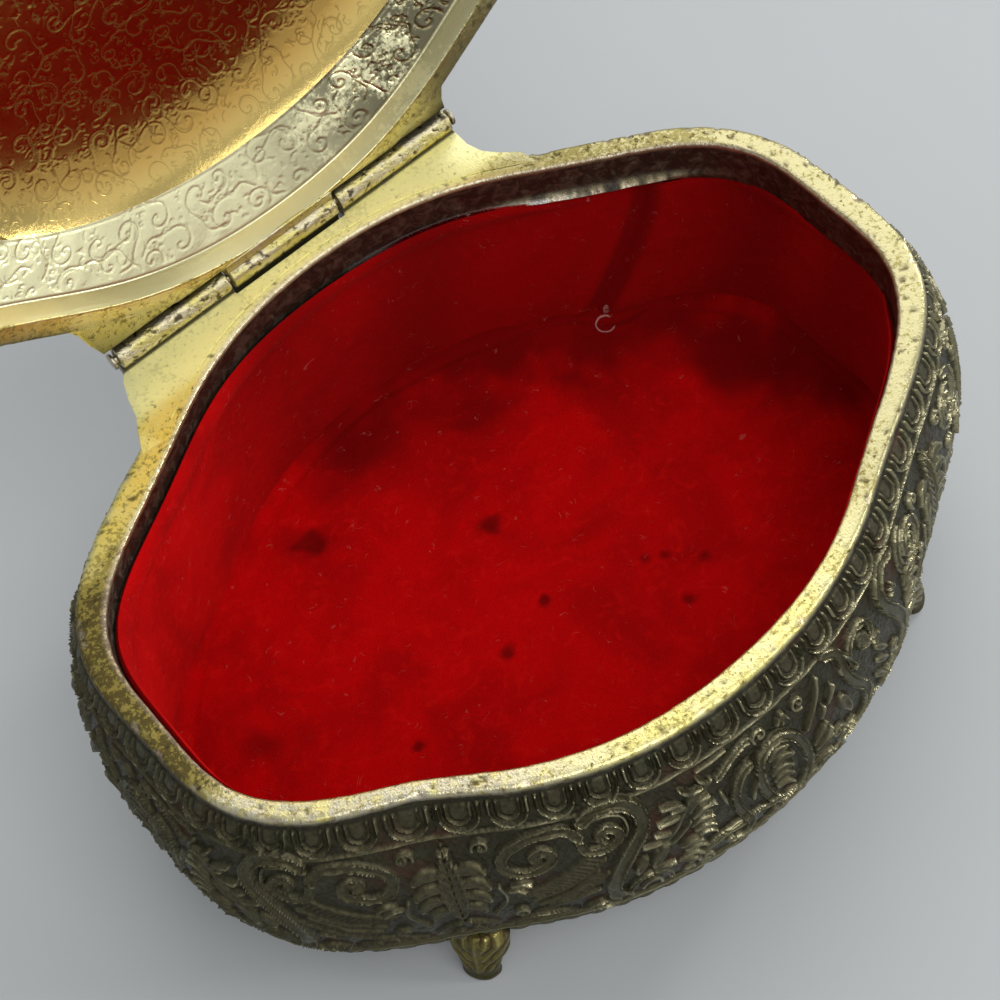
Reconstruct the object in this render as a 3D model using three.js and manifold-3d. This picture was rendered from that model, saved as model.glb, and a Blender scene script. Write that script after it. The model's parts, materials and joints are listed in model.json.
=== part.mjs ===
// A cast metal trinket box with a hinged lid, four feet and a velvet lining, shown with its lid open.
// Millimetres, +Z up. The parts are drawn with the box's rim at height zero and its lid shut. The lid is
// then turned open about the hinge, and the whole box is set down on its feet.

import * as THREE from 'three';
import { mergeVertices } from 'three/addons/utils/BufferGeometryUtils.js';
import Module from 'manifold-3d';

const wasm = await Module();
wasm.setup();

// Mouth of the box seen from above: a rounded oval with four shallow waists
const mouthLength = 100;
const mouthWidth = 70;
const mouthRadiusShares = [1.0095, -0.0168, 0.0236, -0.0181, -0.011];
const outlineSteps = 72;

// Clearance between pieces that touch, and how far a cut runs past what it cuts
const clearance = 0.3;
const overrun = 1;

// Cast body: how far the wall stands out from the mouth, going down
const rimWidth = 2.8;
const rimEdgeRadius = 0.6;
const bulgeWidth = 8;
const bulgeDepth = 21;
const hemWidth = 4.4;
const hemHeight = 2;
const hemBead = 0.5;
const bodyDepth = 38.5;
const hemDepth = bodyDepth - hemHeight;
const bodyWall = 2.2;
const bodyFloor = 2;
const collarDepth = 6.5;
const undersideWidth = 3;

// Card and velvet lining
const velvetStandOut = 0.2;
const velvetThickness = 1.1;
const cardThickness = 0.8;
const floorPadding = 1.4;
const floorCrown = 0.5;
const floorCrownShare = 0.9;
const pileRounding = 0.5;

// Feet
const footDrop = 6.3;
const footLap = 2.8;
const footLeafWidth = 7.8;
const footAnkleWidth = 5;
const footPadWidth = 3.4;
const footLeafDepth = 5.2;
const footAnkleDepth = 3.8;
const footPadDepth = 2.4;
const footSplay = 2.4;
const footStandOut = 4;
const footAngle = THREE.MathUtils.degToRad(48);
const footSteps = 16;

// Hinge: two knuckles on the body, one between them on the lid
const hingeLength = 51.2;
const hingeShift = -0.9;
const lidKnuckleLength = 16.5;
const lidKnuckleShift = -0.7;
const knuckleRadius = 1.6;
const hingeBehindCentre = 41.8;
const hingeAboveRim = 1;
const leafRootLength = 55.2;
const leafRootBehindCentre = 33;
const leafThickness = 2.5;
const leafUnderKnuckle = 1;
const pinRadius = 0.6;
const pinHeadRadius = 1.1;
const pinHeadThickness = 0.5;
const roundSteps = 24;
const heelLength = 3.2;
const heelThickness = 1;
const lidOpenAngle = THREE.MathUtils.degToRad(95);

// Lid, measured with the lid shut
const lidRimInnerWidth = 1.7;
const lidRimOuterWidth = 4.8;
const lidRimHeight = 2;
const lidRimRadius = 0.5;
const lidBandWidth = 2.2;
const lidBandHeight = 1.8;
const lidShoulderInset = 4.6;
const lidShoulderHeight = 5.8;
const lidDomeRise = 6;
const lidWall = 1.7;

// Colours
const darkCast = new THREE.MeshStandardMaterial({ color: 0x5b5343, roughness: 0.42, metalness: 0.85 });
const gilding = new THREE.MeshStandardMaterial({ color: 0xd9c27a, roughness: 0.25, metalness: 1 });
const oldBrass = new THREE.MeshStandardMaterial({ color: 0x8a7a3e, roughness: 0.4, metalness: 0.9 });
const steel = new THREE.MeshStandardMaterial({ color: 0x9a9588, roughness: 0.35, metalness: 1 });
const redVelvet = new THREE.MeshStandardMaterial({ color: 0xa00606, roughness: 0.95, metalness: 0 });
const greyCard = new THREE.MeshStandardMaterial({ color: 0xa79a82, roughness: 0.9, metalness: 0 });

// Point of the mouth's outline at an angle, pushed out square to the outline by a width
function outlinePoint(angle, width) {
  let radius = 0;
  let slope = 0;
  mouthRadiusShares.forEach((share, order) => {
    radius += share * Math.cos(2 * order * angle);
    slope -= 2 * order * share * Math.sin(2 * order * angle);
  });
  const halfLength = mouthLength / 2;
  const halfWidth = mouthWidth / 2;
  const alongX = halfLength * (slope * Math.cos(angle) - radius * Math.sin(angle));
  const alongY = halfWidth * (slope * Math.sin(angle) + radius * Math.cos(angle));
  const speed = Math.hypot(alongX, alongY);
  const x = halfLength * radius * Math.cos(angle) + width * alongY / speed;
  const y = halfWidth * radius * Math.sin(angle) - width * alongX / speed;
  return new THREE.Vector2(x, y);
}

// One closed ring of the outline: its stand-out from the mouth, its height, and how far it is drawn in
function ring(width, height, share = 1) {
  return { width, height, share };
}

// Solid through a list of rings. It starts and ends on the centre line, or joins up when it is a loop.
function loft(rings, isLoop) {
  const positions = [];
  const indices = [];
  const ringStarts = [];
  for (const { width, height, share } of rings) {
    ringStarts.push(positions.length / 3);
    const count = share === 0 ? 1 : outlineSteps;
    for (let step = 0; step < count; step += 1) {
      const point = outlinePoint(2 * Math.PI * step / outlineSteps, width);
      positions.push(point.x * share, point.y * share, height);
    }
  }
  const bands = isLoop ? rings.length : rings.length - 1;
  for (let band = 0; band < bands; band += 1) {
    const next = (band + 1) % rings.length;
    for (let step = 0; step < outlineSteps; step += 1) {
      const after = (step + 1) % outlineSteps;
      const lower = ringStarts[band];
      const upper = ringStarts[next];
      if (rings[band].share === 0) {
        indices.push(lower, upper + after, upper + step);
      } else if (rings[next].share === 0) {
        indices.push(lower + step, lower + after, upper);
      } else {
        indices.push(lower + step, lower + after, upper + after);
        indices.push(lower + step, upper + after, upper + step);
      }
    }
  }
  const geometry = new THREE.BufferGeometry();
  geometry.setAttribute('position', new THREE.Float32BufferAttribute(positions, 3));
  geometry.setIndex(indices);
  return geometry;
}

// Geometry to solid and back, for joining and cutting
function toSolid(geometry) {
  const bare = geometry.clone();
  bare.deleteAttribute('normal');
  bare.deleteAttribute('uv');
  const merged = mergeVertices(bare);
  return new wasm.Manifold(new wasm.Mesh({
    numProp: 3,
    vertProperties: new Float32Array(merged.attributes.position.array),
    triVerts: new Uint32Array(merged.index.array),
  }));
}

function toGeometry(solid) {
  const mesh = solid.getMesh();
  const geometry = new THREE.BufferGeometry();
  geometry.setAttribute('position', new THREE.BufferAttribute(new Float32Array(mesh.vertProperties), 3));
  geometry.setIndex(new THREE.BufferAttribute(new Uint32Array(mesh.triVerts), 1));
  return geometry;
}

function box(lowX, lowY, lowZ, highX, highY, highZ) {
  const geometry = new THREE.BoxGeometry(highX - lowX, highY - lowY, highZ - lowZ);
  geometry.translate((lowX + highX) / 2, (lowY + highY) / 2, (lowZ + highZ) / 2);
  return toSolid(geometry);
}

// Round bar on the hinge's axis
function hingeBar(radius, lowX, highX) {
  const geometry = new THREE.CylinderGeometry(radius, radius, highX - lowX, roundSteps);
  geometry.rotateZ(Math.PI / 2);
  geometry.translate((lowX + highX) / 2, hingeBehindCentre, hingeAboveRim);
  return toSolid(geometry);
}

// Flat leaf that reaches back from the rim to the hinge
function hingeLeaf(back, lowZ, highZ) {
  const shape = new THREE.Shape([
    new THREE.Vector2(hingeShift - leafRootLength / 2, leafRootBehindCentre),
    new THREE.Vector2(hingeShift + leafRootLength / 2, leafRootBehindCentre),
    new THREE.Vector2(hingeHigh, back),
    new THREE.Vector2(hingeLow, back),
  ]);
  const geometry = new THREE.ExtrudeGeometry(shape, { depth: highZ - lowZ, bevelEnabled: false });
  geometry.translate(0, 0, lowZ);
  return toSolid(geometry);
}

// Places along the hinge
const hingeLow = hingeShift - hingeLength / 2;
const hingeHigh = hingeShift + hingeLength / 2;
const lidKnuckleLow = hingeShift + lidKnuckleShift - lidKnuckleLength / 2;
const lidKnuckleHigh = lidKnuckleLow + lidKnuckleLength;
const turningRadius = knuckleRadius + clearance;

// Stand-out of the wall's outer face at a depth below the rim
const upperWallPower = 2.2;
const lowerWallPower = 1.7;
function wallWidth(depth) {
  if (depth < bulgeDepth) {
    return bulgeWidth - (bulgeWidth - rimWidth) * (1 - depth / bulgeDepth) ** upperWallPower;
  }
  const share = (depth - bulgeDepth) / (hemDepth - bulgeDepth);
  return bulgeWidth - (bulgeWidth - hemWidth) * share ** lowerWallPower;
}

// Outer form of the cast body, or that form grown by a clearance
function bodyOutside(growth) {
  const wallShares = [0.04, 0.13, 0.27, 0.42, 0.58, 0.72, 0.86, 1];
  const bottom = -bodyDepth - growth;
  return toSolid(loft([
    ring(0, bottom, 0),
    ring(undersideWidth + growth, bottom),
    ring(hemWidth + growth, bottom + hemBead),
    ring(hemWidth + hemBead + growth, -(hemDepth + bodyDepth) / 2),
    ...wallShares.toReversed().map((share) => {
      return ring(wallWidth(share * hemDepth) + growth, -share * hemDepth);
    }),
    ring(rimWidth + growth, -rimEdgeRadius),
    ring(rimWidth - rimEdgeRadius + growth, 0),
    ring(0, 0, 0),
  ]));
}

// Cast body: wall, floor, collar under the rim, hinge leaf and the two outer knuckles
function bodyShell() {
  const floorDepth = bodyDepth - bodyFloor;
  const recessShares = [0.2, 0.42, 0.65, 0.85, 1];
  const recessTop = collarDepth + bodyWall;
  const inside = [
    ring(0, -floorDepth, 0),
    ...recessShares.toReversed().map((share) => {
      const depth = recessTop + (floorDepth - recessTop) * share;
      return ring(wallWidth(depth) - bodyWall, -depth);
    }),
    ring(wallWidth(recessTop) - bodyWall, -recessTop),
    ring(wallWidth(recessTop) - bodyWall, -collarDepth),
    ring(0, -collarDepth),
    ring(0, overrun),
    ring(0, overrun, 0),
  ];
  const leafBack = hingeBehindCentre + leafUnderKnuckle;
  const slotLow = lidKnuckleLow - clearance / 2;
  const slotHigh = lidKnuckleHigh + clearance / 2;
  const slotFront = hingeBehindCentre - heelThickness / 2 - 2 * clearance;
  const slotBack = leafBack + bulgeWidth;
  return bodyOutside(0)
    .add(hingeLeaf(leafBack, -leafThickness, 0))
    .subtract(toSolid(loft(inside)))
    .subtract(box(slotLow, slotFront, -leafThickness - clearance, slotHigh, slotBack, overrun))
    .subtract(hingeBar(turningRadius, slotLow, slotHigh))
    .add(hingeBar(knuckleRadius, hingeLow, slotLow))
    .add(hingeBar(knuckleRadius, slotHigh, hingeHigh))
    .subtract(hingeBar(pinRadius + clearance, hingeLow - overrun, hingeHigh + overrun));
}

// Cast lid: rim, sloping shoulder, domed top, hinge leaf, middle knuckle and the heel that stops it
function lidShell() {
  const domeShares = [0.85, 0.6, 0.3];
  const rimTop = clearance + lidRimHeight;
  const domeHeight = (share) => lidShoulderHeight + lidDomeRise * (1 - share ** 2);
  const slope = Math.hypot(lidShoulderInset + lidBandWidth, lidShoulderHeight - lidBandHeight);
  const wallAcross = lidWall * (lidShoulderHeight - lidBandHeight) / slope;
  const wallUp = lidWall * (lidShoulderInset + lidBandWidth) / slope;
  const outside = [
    ring(0, clearance, 0),
    ring(lidRimOuterWidth, clearance),
    ring(lidRimOuterWidth + lidRimRadius, clearance + lidRimHeight / 3),
    ring(lidRimOuterWidth + lidRimRadius, rimTop - lidRimRadius),
    ring(lidRimOuterWidth, rimTop),
    ring(lidBandWidth + wallAcross, lidBandHeight + wallUp),
    ring(wallAcross - lidShoulderInset, lidShoulderHeight + wallUp),
    ...domeShares.map((share) => ring(wallAcross - lidShoulderInset, domeHeight(share) + wallUp, share)),
    ring(0, domeHeight(0) + wallUp, 0),
  ];
  const inside = [
    ring(0, clearance - overrun, 0),
    ring(lidRimInnerWidth, clearance - overrun),
    ring(lidRimInnerWidth, clearance),
    ring(lidBandWidth, lidBandHeight),
    ring(-lidShoulderInset, lidShoulderHeight),
    ...domeShares.map((share) => ring(-lidShoulderInset, domeHeight(share), share)),
    ring(0, domeHeight(0), 0),
  ];
  const knuckleLow = lidKnuckleLow + clearance / 2;
  const knuckleHigh = lidKnuckleHigh - clearance / 2;
  const arm = box(
    knuckleLow, leafRootBehindCentre, clearance,
    knuckleHigh, hingeBehindCentre, hingeAboveRim + knuckleRadius);
  const heel = box(
    knuckleLow, hingeBehindCentre, hingeAboveRim - heelThickness / 2,
    knuckleHigh, hingeBehindCentre + heelLength, hingeAboveRim + heelThickness / 2);
  return toSolid(loft(outside))
    .add(hingeLeaf(hingeBehindCentre, clearance, rimTop))
    .subtract(hingeBar(turningRadius, hingeLow - overrun, lidKnuckleLow + clearance / 2))
    .subtract(hingeBar(turningRadius, lidKnuckleHigh - clearance / 2, hingeHigh + overrun))
    .add(arm)
    .subtract(toSolid(loft(inside)))
    .add(hingeBar(knuckleRadius, knuckleLow, knuckleHigh))
    .add(heel)
    .subtract(hingeBar(pinRadius + clearance, knuckleLow - overrun, knuckleHigh + overrun));
}

// Pin with a peened head at each end
function hingePin() {
  const low = hingeLow - clearance;
  const high = hingeHigh + clearance;
  return hingeBar(pinRadius, low - pinHeadThickness / 2, high + pinHeadThickness / 2)
    .add(hingeBar(pinHeadRadius, low - pinHeadThickness, low))
    .add(hingeBar(pinHeadRadius, high, high + pinHeadThickness));
}

// Lining heights
const floorCardBottom = bodyFloor - bodyDepth + clearance;
const floorCardTop = floorCardBottom + cardThickness;
const liningBottom = floorCardTop + clearance;
const liningTop = -collarDepth - clearance;
const wallCardInner = velvetStandOut + velvetThickness + clearance;
const wallCardOuter = wallCardInner + cardThickness;

function floorCard() {
  return loft([
    ring(0, floorCardBottom, 0),
    ring(wallCardInner, floorCardBottom),
    ring(wallCardInner, floorCardTop),
    ring(0, floorCardTop, 0),
  ]);
}

function wallCard() {
  return loft([
    ring(wallCardInner, liningBottom),
    ring(wallCardOuter, liningBottom),
    ring(wallCardOuter, liningTop),
    ring(wallCardInner, liningTop),
  ], true);
}

function velvetWall() {
  const outer = velvetStandOut + velvetThickness;
  const middle = (liningTop + liningBottom) / 2;
  return loft([
    ring(velvetStandOut, liningBottom),
    ring(outer, liningBottom),
    ring(outer, liningTop),
    ring(velvetStandOut + pileRounding, liningTop),
    ring(velvetStandOut, liningTop - pileRounding),
    ring(velvetStandOut + pileRounding / 2, middle),
  ], true);
}

function velvetFloor() {
  const edge = velvetStandOut - clearance;
  const top = liningBottom + floorPadding;
  return loft([
    ring(0, liningBottom, 0),
    ring(edge, liningBottom),
    ring(edge, top - pileRounding - floorCrown),
    ring(edge - pileRounding, top - floorCrown),
    ring(edge - pileRounding, top, floorCrownShare),
    ring(0, top, 0),
  ]);
}

// A foot: a leaf that laps over the hem, narrows to an ankle and ends in a small flat pad, leaning outwards
function foot(angle) {
  const top = footLap - bodyDepth;
  const height = footDrop + footLap;
  const place = outlinePoint(angle, footStandOut);
  const lean = place.clone().normalize();
  const sections = [
    { width: footLeafWidth * 0.9, depth: footLeafDepth * 0.8, downShare: 0, outShare: 0 },
    { width: footLeafWidth, depth: footLeafDepth, downShare: 0.2, outShare: 0.1 },
    { width: footLeafWidth * 0.9, depth: footLeafDepth, downShare: 0.45, outShare: 0.3 },
    { width: footAnkleWidth * 1.1, depth: footAnkleDepth * 1.1, downShare: 0.65, outShare: 0.55 },
    { width: footAnkleWidth, depth: footAnkleDepth, downShare: 0.85, outShare: 0.85 },
    { width: footAnkleWidth * 0.9, depth: footAnkleDepth * 0.9, downShare: 0.95, outShare: 1 },
    { width: footPadWidth, depth: footPadDepth, downShare: 1, outShare: 1 },
  ];
  const positions = [place.x, place.y, top];
  for (const { width, depth, downShare, outShare } of sections) {
    for (let step = 0; step < footSteps; step += 1) {
      const turn = 2 * Math.PI * step / footSteps;
      const across = width / 2 * Math.cos(turn);
      const along = footSplay * outShare + depth / 2 * Math.sin(turn);
      positions.push(
        place.x + lean.x * along + lean.y * across,
        place.y + lean.y * along - lean.x * across,
        top - height * downShare);
    }
  }
  positions.push(place.x + lean.x * footSplay, place.y + lean.y * footSplay, top - height);
  const last = positions.length / 3 - 1;
  const indices = [];
  for (let step = 0; step < footSteps; step += 1) {
    const after = (step + 1) % footSteps;
    indices.push(0, 1 + step, 1 + after);
    for (let row = 0; row < sections.length - 1; row += 1) {
      const upper = 1 + row * footSteps;
      const lower = upper + footSteps;
      indices.push(upper + step, lower + after, upper + after);
      indices.push(upper + step, lower + step, lower + after);
    }
    const rim = 1 + (sections.length - 1) * footSteps;
    indices.push(last, rim + after, rim + step);
  }
  const geometry = new THREE.BufferGeometry();
  geometry.setAttribute('position', new THREE.Float32BufferAttribute(positions, 3));
  geometry.setIndex(indices);
  return toGeometry(toSolid(geometry).subtract(bodyOutside(clearance)));
}

function piece(name, geometry, material) {
  const mesh = new THREE.Mesh(geometry, material);
  mesh.name = name;
  return mesh;
}

const trinketBox = new THREE.Group();
trinketBox.add(piece('body_shell', toGeometry(bodyShell()), darkCast));
trinketBox.add(piece('hinge_pin', toGeometry(hingePin()), steel));
trinketBox.add(piece('floor_card', floorCard(), greyCard));
trinketBox.add(piece('wall_card', wallCard(), greyCard));
trinketBox.add(piece('velvet_wall', velvetWall(), redVelvet));
trinketBox.add(piece('velvet_floor', velvetFloor(), redVelvet));
trinketBox.add(piece('back_right_foot', foot(footAngle), oldBrass));
trinketBox.add(piece('back_left_foot', foot(Math.PI - footAngle), oldBrass));
trinketBox.add(piece('front_left_foot', foot(Math.PI + footAngle), oldBrass));
trinketBox.add(piece('front_right_foot', foot(-footAngle), oldBrass));

// The lid turns open about the hinge, so its mesh hangs from the hinge's axis
const openLid = new THREE.Group();
openLid.position.set(0, hingeBehindCentre, hingeAboveRim);
openLid.rotation.x = -lidOpenAngle;
const lidGeometry = toGeometry(lidShell());
lidGeometry.translate(0, -hingeBehindCentre, -hingeAboveRim);
openLid.add(piece('lid_shell', lidGeometry, gilding));
trinketBox.add(openLid);

// The box stands on its feet, with the origin under the middle of its bounding box
const bounds = new THREE.Box3().setFromObject(trinketBox, true);
const middle = bounds.getCenter(new THREE.Vector3());
trinketBox.position.set(-middle.x, -middle.y, -bounds.min.z);

export default trinketBox;
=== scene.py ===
"""Looks of a cast trinket box with a velvet lining: relief, gilding, tarnish, cloth, light and camera.

Everything is in metres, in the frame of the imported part. Forms of the box are worked out from its mouth,
with the rim at height zero and the lid shut, and are then set in place by stand() or turn_open().
Ornament is drawn in millimetres on flat fields and laid on the castings.
"""

import json
import math

import bpy
import numpy as np
from mathutils import Matrix, Vector, noise


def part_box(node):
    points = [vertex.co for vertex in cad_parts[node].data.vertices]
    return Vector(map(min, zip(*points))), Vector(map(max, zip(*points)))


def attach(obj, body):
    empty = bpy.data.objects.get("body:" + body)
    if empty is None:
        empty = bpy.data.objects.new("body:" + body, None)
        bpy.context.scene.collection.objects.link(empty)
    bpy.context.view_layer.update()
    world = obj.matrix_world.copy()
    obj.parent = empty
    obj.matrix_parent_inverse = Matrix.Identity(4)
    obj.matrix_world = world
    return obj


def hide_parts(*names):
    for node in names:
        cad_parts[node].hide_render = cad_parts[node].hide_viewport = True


bl_info = {
    "name": "Trinket Box",
    "version": (1, 0, 0),
    "blender": (4, 5, 0),
    "location": "3D View > Sidebar > Trinket Box",
    "description": "Dresses the packed trinket box with its relief, gilding, velvet and studio",
    "category": "Add Mesh",
}

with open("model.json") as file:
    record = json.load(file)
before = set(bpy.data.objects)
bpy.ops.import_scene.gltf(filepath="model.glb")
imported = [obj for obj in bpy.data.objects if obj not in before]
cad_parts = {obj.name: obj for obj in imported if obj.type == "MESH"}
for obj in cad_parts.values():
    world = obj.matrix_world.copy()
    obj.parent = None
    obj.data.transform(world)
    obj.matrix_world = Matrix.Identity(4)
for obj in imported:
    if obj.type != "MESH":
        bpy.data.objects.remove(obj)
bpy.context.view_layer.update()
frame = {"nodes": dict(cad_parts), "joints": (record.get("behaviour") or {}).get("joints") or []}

MM = 0.001
hinge = frame["joints"][0]
hinge_y = hinge["pos_m"][1]
hinge_z = hinge["pos_m"][2]
open_angle = math.radians(hinge["range_deg"][1])

# Mouth of the box: a rounded oval with four shallow waists
half_length = 0.050
half_width = 0.035
radius_shares = (1.0095, -0.0168, 0.0236, -0.0181, -0.011)
waist_angles = tuple(math.radians(degrees) for degrees in (228, 312, 408, 492, 588))

# Where the hinge stands from the mouth
hinge_behind_centre = 0.0418
hinge_above_rim = 0.001
mouth_y = hinge_y - hinge_behind_centre
rim_z = hinge_z - hinge_above_rim

# Wall of the bowl
rim_width = 0.0028
bulge_width = 0.008
bulge_depth = 0.021
hem_width = 0.0044
hem_depth = 0.0365
hem_bead = 0.0005
body_depth = 0.0385
underside_width = 0.003
collar_depth = 0.0065

# Hinge leaves and knuckles
hinge_low = -0.0265
hinge_high = 0.0247
lid_knuckle_low = -0.00985
lid_knuckle_high = 0.00665
knuckle_radius = 0.0016
leaf_thickness = 0.0025
running_gap = 0.00015
slot_low, slot_high = lid_knuckle_low - running_gap, lid_knuckle_high + running_gap
middle_low, middle_high = lid_knuckle_low + running_gap, lid_knuckle_high - running_gap
recess_front = 0.0392
recess_top = 0.0013
knuckle_clearance = 0.0003
heel_reach = 0.0032
heel_thickness = 0.001

# Lid
lid_seat = 0.0003
lid_rim_outer = 0.0048
lid_rim_round = 0.0005
lid_rim_top = 0.0023
dome_inset = -0.0046
dome_lap = 0.0008
shoulder_height = 0.0058
dome_rise = 0.006
ceiling_length = 0.0415
ceiling_width = 0.030
ceiling_edge = 0.0059
ceiling_rise = 0.0043
band_foot = 0.0023
band_top = 0.0014
band_top_height = 0.0026
lid_wall = 0.0017

# Feet: where they stand round the mouth's outline, and how far outside it
foot_angle = math.radians(48)
foot_reach = 0.004

# Lining
lining_top = -0.0068
lining_bottom = -0.0351
velvet_face = 0.0002
velvet_floor_top = -0.0337

# Edges of the relief that are sharper than this stay sharp
relief_smoothing = math.radians(85)


def find_size(name):
    return getattr(bpy.context.scene.trinket_sizes, name)


def find_colour(name):
    return tuple(getattr(bpy.context.scene.trinket_colours, name))


class TrinketSizes(bpy.types.PropertyGroup):
    """Sizes of the ornament and the lining that can be changed"""

    relief_height: bpy.props.FloatProperty(
        name="Relief", description="Height of the cast ornament", default=0.00125, unit="LENGTH")
    relief_sunk: bpy.props.FloatProperty(
        name="Ground", description="How far the ground lies under the plain wall", default=0.0005,
        unit="LENGTH")
    engraving_depth: bpy.props.FloatProperty(
        name="Engraving", description="Depth of the lines inside the lid", default=0.00012, unit="LENGTH")
    velvet_slack: bpy.props.FloatProperty(
        name="Slack", description="How far the velvet wall stands off its card in its folds",
        default=0.0009, unit="LENGTH")


class TrinketColours(bpy.types.PropertyGroup):
    """Colours of the metals, the velvet and the floor"""

    gilt: bpy.props.FloatVectorProperty(
        name="Gilt", description="Bright gilding", subtype="COLOR", default=(0.87, 0.76, 0.27))
    old_gilt: bpy.props.FloatVectorProperty(
        name="Old gilt", description="Gilding gone olive", subtype="COLOR", default=(0.33, 0.27, 0.07))
    tarnish: bpy.props.FloatVectorProperty(
        name="Tarnish", description="Tarnished ground of the casting", subtype="COLOR",
        default=(0.040, 0.035, 0.017))
    silver: bpy.props.FloatVectorProperty(
        name="Silver", description="Rubbed high spots of the casting", subtype="COLOR",
        default=(0.30, 0.275, 0.165))
    velvet: bpy.props.FloatVectorProperty(
        name="Velvet", description="Red of the lining", subtype="COLOR", default=(0.56, 0.0, 0.001))
    floor: bpy.props.FloatVectorProperty(
        name="Floor", description="Studio floor", subtype="COLOR", default=(0.47, 0.485, 0.49))


class Value:
    """A shader socket that can be used in Python sums"""

    def __init__(self, finish, socket):
        self.finish = finish
        self.socket = socket

    def sum(self, operation, *values):
        return self.finish.node("ShaderNodeMath", {"operation": operation}, dict(enumerate(values)))

    def __add__(self, other):
        return self.sum("ADD", self, other)

    __radd__ = __add__

    def __sub__(self, other):
        return self.sum("SUBTRACT", self, other)

    def __rsub__(self, other):
        return self.sum("SUBTRACT", other, self)

    def __mul__(self, other):
        return self.sum("MULTIPLY", self, other)

    __rmul__ = __mul__

    def __abs__(self):
        return self.sum("ABSOLUTE", self)


class Finish:
    """A material under construction"""

    def __init__(self, name):
        self.material = bpy.data.materials.new(name)
        self.material.use_nodes = True
        self.tree = self.material.node_tree
        self.tree.nodes.clear()
        self.place = self.node("ShaderNodeTexCoord", {}, {}, "Object")

    def node(self, kind, settings, sockets, output=0):
        """One node, with its settings made first, then the values or links of its sockets"""
        made = self.tree.nodes.new(kind)
        for name, setting in settings.items():
            setattr(made, name, setting)
        for name, value in sockets.items():
            if isinstance(value, Value):
                self.tree.links.new(value.socket, made.inputs[name])
            else:
                made.inputs[name].default_value = value
        return Value(self, made.outputs[output]) if made.outputs else made

    def attribute(self, name):
        return self.node("ShaderNodeAttribute", {"attribute_name": name}, {}, "Fac")

    def noise(self, scale, detail=3.0, roughness=0.5, distortion=0.0, place=None):
        sockets = {"Vector": place or self.place, "Scale": scale, "Detail": detail,
                   "Roughness": roughness, "Distortion": distortion}
        return self.node("ShaderNodeTexNoise", {}, sockets, "Fac")

    def cells(self, scale):
        return self.node("ShaderNodeTexVoronoi", {}, {"Vector": self.place, "Scale": scale}, "Distance")

    def along(self, axis):
        """The place on the piece along one axis"""
        return self.node("ShaderNodeSeparateXYZ", {}, {"Vector": self.place}, axis)

    def distance(self, first, second):
        sockets = {0: first, 1: second}
        return self.node("ShaderNodeVectorMath", {"operation": "DISTANCE"}, sockets, "Value")

    def step(self, value, low, high):
        """Smooth step of a value from low to high"""
        sockets = {"Value": value, "From Min": low, "From Max": high}
        return self.node("ShaderNodeMapRange", {"interpolation_type": "SMOOTHSTEP"}, sockets, "Result")

    def stretch(self, scale):
        """The piece's own place, stretched along its axes"""
        return self.node("ShaderNodeMapping", {}, {"Vector": self.place, "Scale": scale})

    def blend(self, share, first, second):
        """Colour between two colours"""
        sockets = {0: share}
        for index, colour in ((6, first), (7, second)):
            sockets[index] = colour if isinstance(colour, Value) else (*colour, 1)
        return self.node("ShaderNodeMix", {"data_type": "RGBA"}, sockets, 2)

    def bump(self, height, strength, distance, under=None):
        sockets = {"Height": height, "Strength": strength, "Distance": distance}
        if under:
            sockets["Normal"] = under
        return self.node("ShaderNodeBump", {}, sockets)

    def surface(self, **sockets):
        """The finished surface; names of sockets have their spaces as low lines"""
        shader = self.node("ShaderNodeBsdfPrincipled", {}, {
            name.replace("_", " "): (*value, 1) if isinstance(value, tuple) and len(value) == 3 else value
            for name, value in sockets.items()})
        self.node("ShaderNodeOutputMaterial", {}, {"Surface": shader})
        return self.material


def outline(angle, width):
    """Point of the mouth's outline at an angle, pushed out square to the outline by a width"""
    radius = sum(share * np.cos(2 * order * angle) for order, share in enumerate(radius_shares))
    slope = sum(-2 * order * share * np.sin(2 * order * angle) for order, share in enumerate(radius_shares))
    along_x = half_length * (slope * np.cos(angle) - radius * np.sin(angle))
    along_y = half_width * (slope * np.sin(angle) + radius * np.cos(angle))
    speed = np.hypot(along_x, along_y)
    x = half_length * radius * np.cos(angle) + width * along_y / speed
    y = half_width * radius * np.sin(angle) - width * along_x / speed
    return x, y


# Unevenness of the cast rim: angle in degrees, and how far its inner edge
# and its outer edge lie out, in millimetres
rim_unevenness = (
    (0, -0.2, 0.5), (25, 0.0, 0.1), (60, 0.0, 0.0), (118, 0.0, 0.0), (134, 0.0, 1.1), (150, 0.1, 1.1),
    (166, 0.2, 0.5), (182, 0.1, -0.2), (198, 0.0, -0.5), (212, -0.3, -0.6), (226, -0.7, -1.5),
    (240, -0.1, -0.5), (256, -0.1, -0.3), (272, -0.2, -0.4), (288, -0.1, -0.7), (302, -0.2, -0.6),
    (316, 0.2, 0.0), (335, -0.2, 0.4), (360, -0.2, 0.5),
)


def rim_shift(angle):
    """How far the rim's inner and outer edges lie out at an angle, against the even outline"""
    degrees = np.degrees(angle) % 360
    places, inner, outer = zip(*rim_unevenness)
    return np.interp(degrees, places, inner) * MM, np.interp(degrees, places, outer) * MM


def lengths_along(x, y):
    """Length of a line from its start to each of its points"""
    return np.concatenate([[0], np.cumsum(np.hypot(np.diff(x), np.diff(y)))])


def angles_by_length(start, end, width, shares):
    """Angles at shares of the outline's length between two angles"""
    angle = np.linspace(start, end, 2000)
    length = lengths_along(*outline(angle, width))
    return np.interp(shares * length[-1], length, angle), length[-1]


def stand(x, y, z):
    """Points given from the mouth's centre, set in the frame"""
    return np.stack([x, y + mouth_y, z + rim_z], axis=-1)


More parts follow.
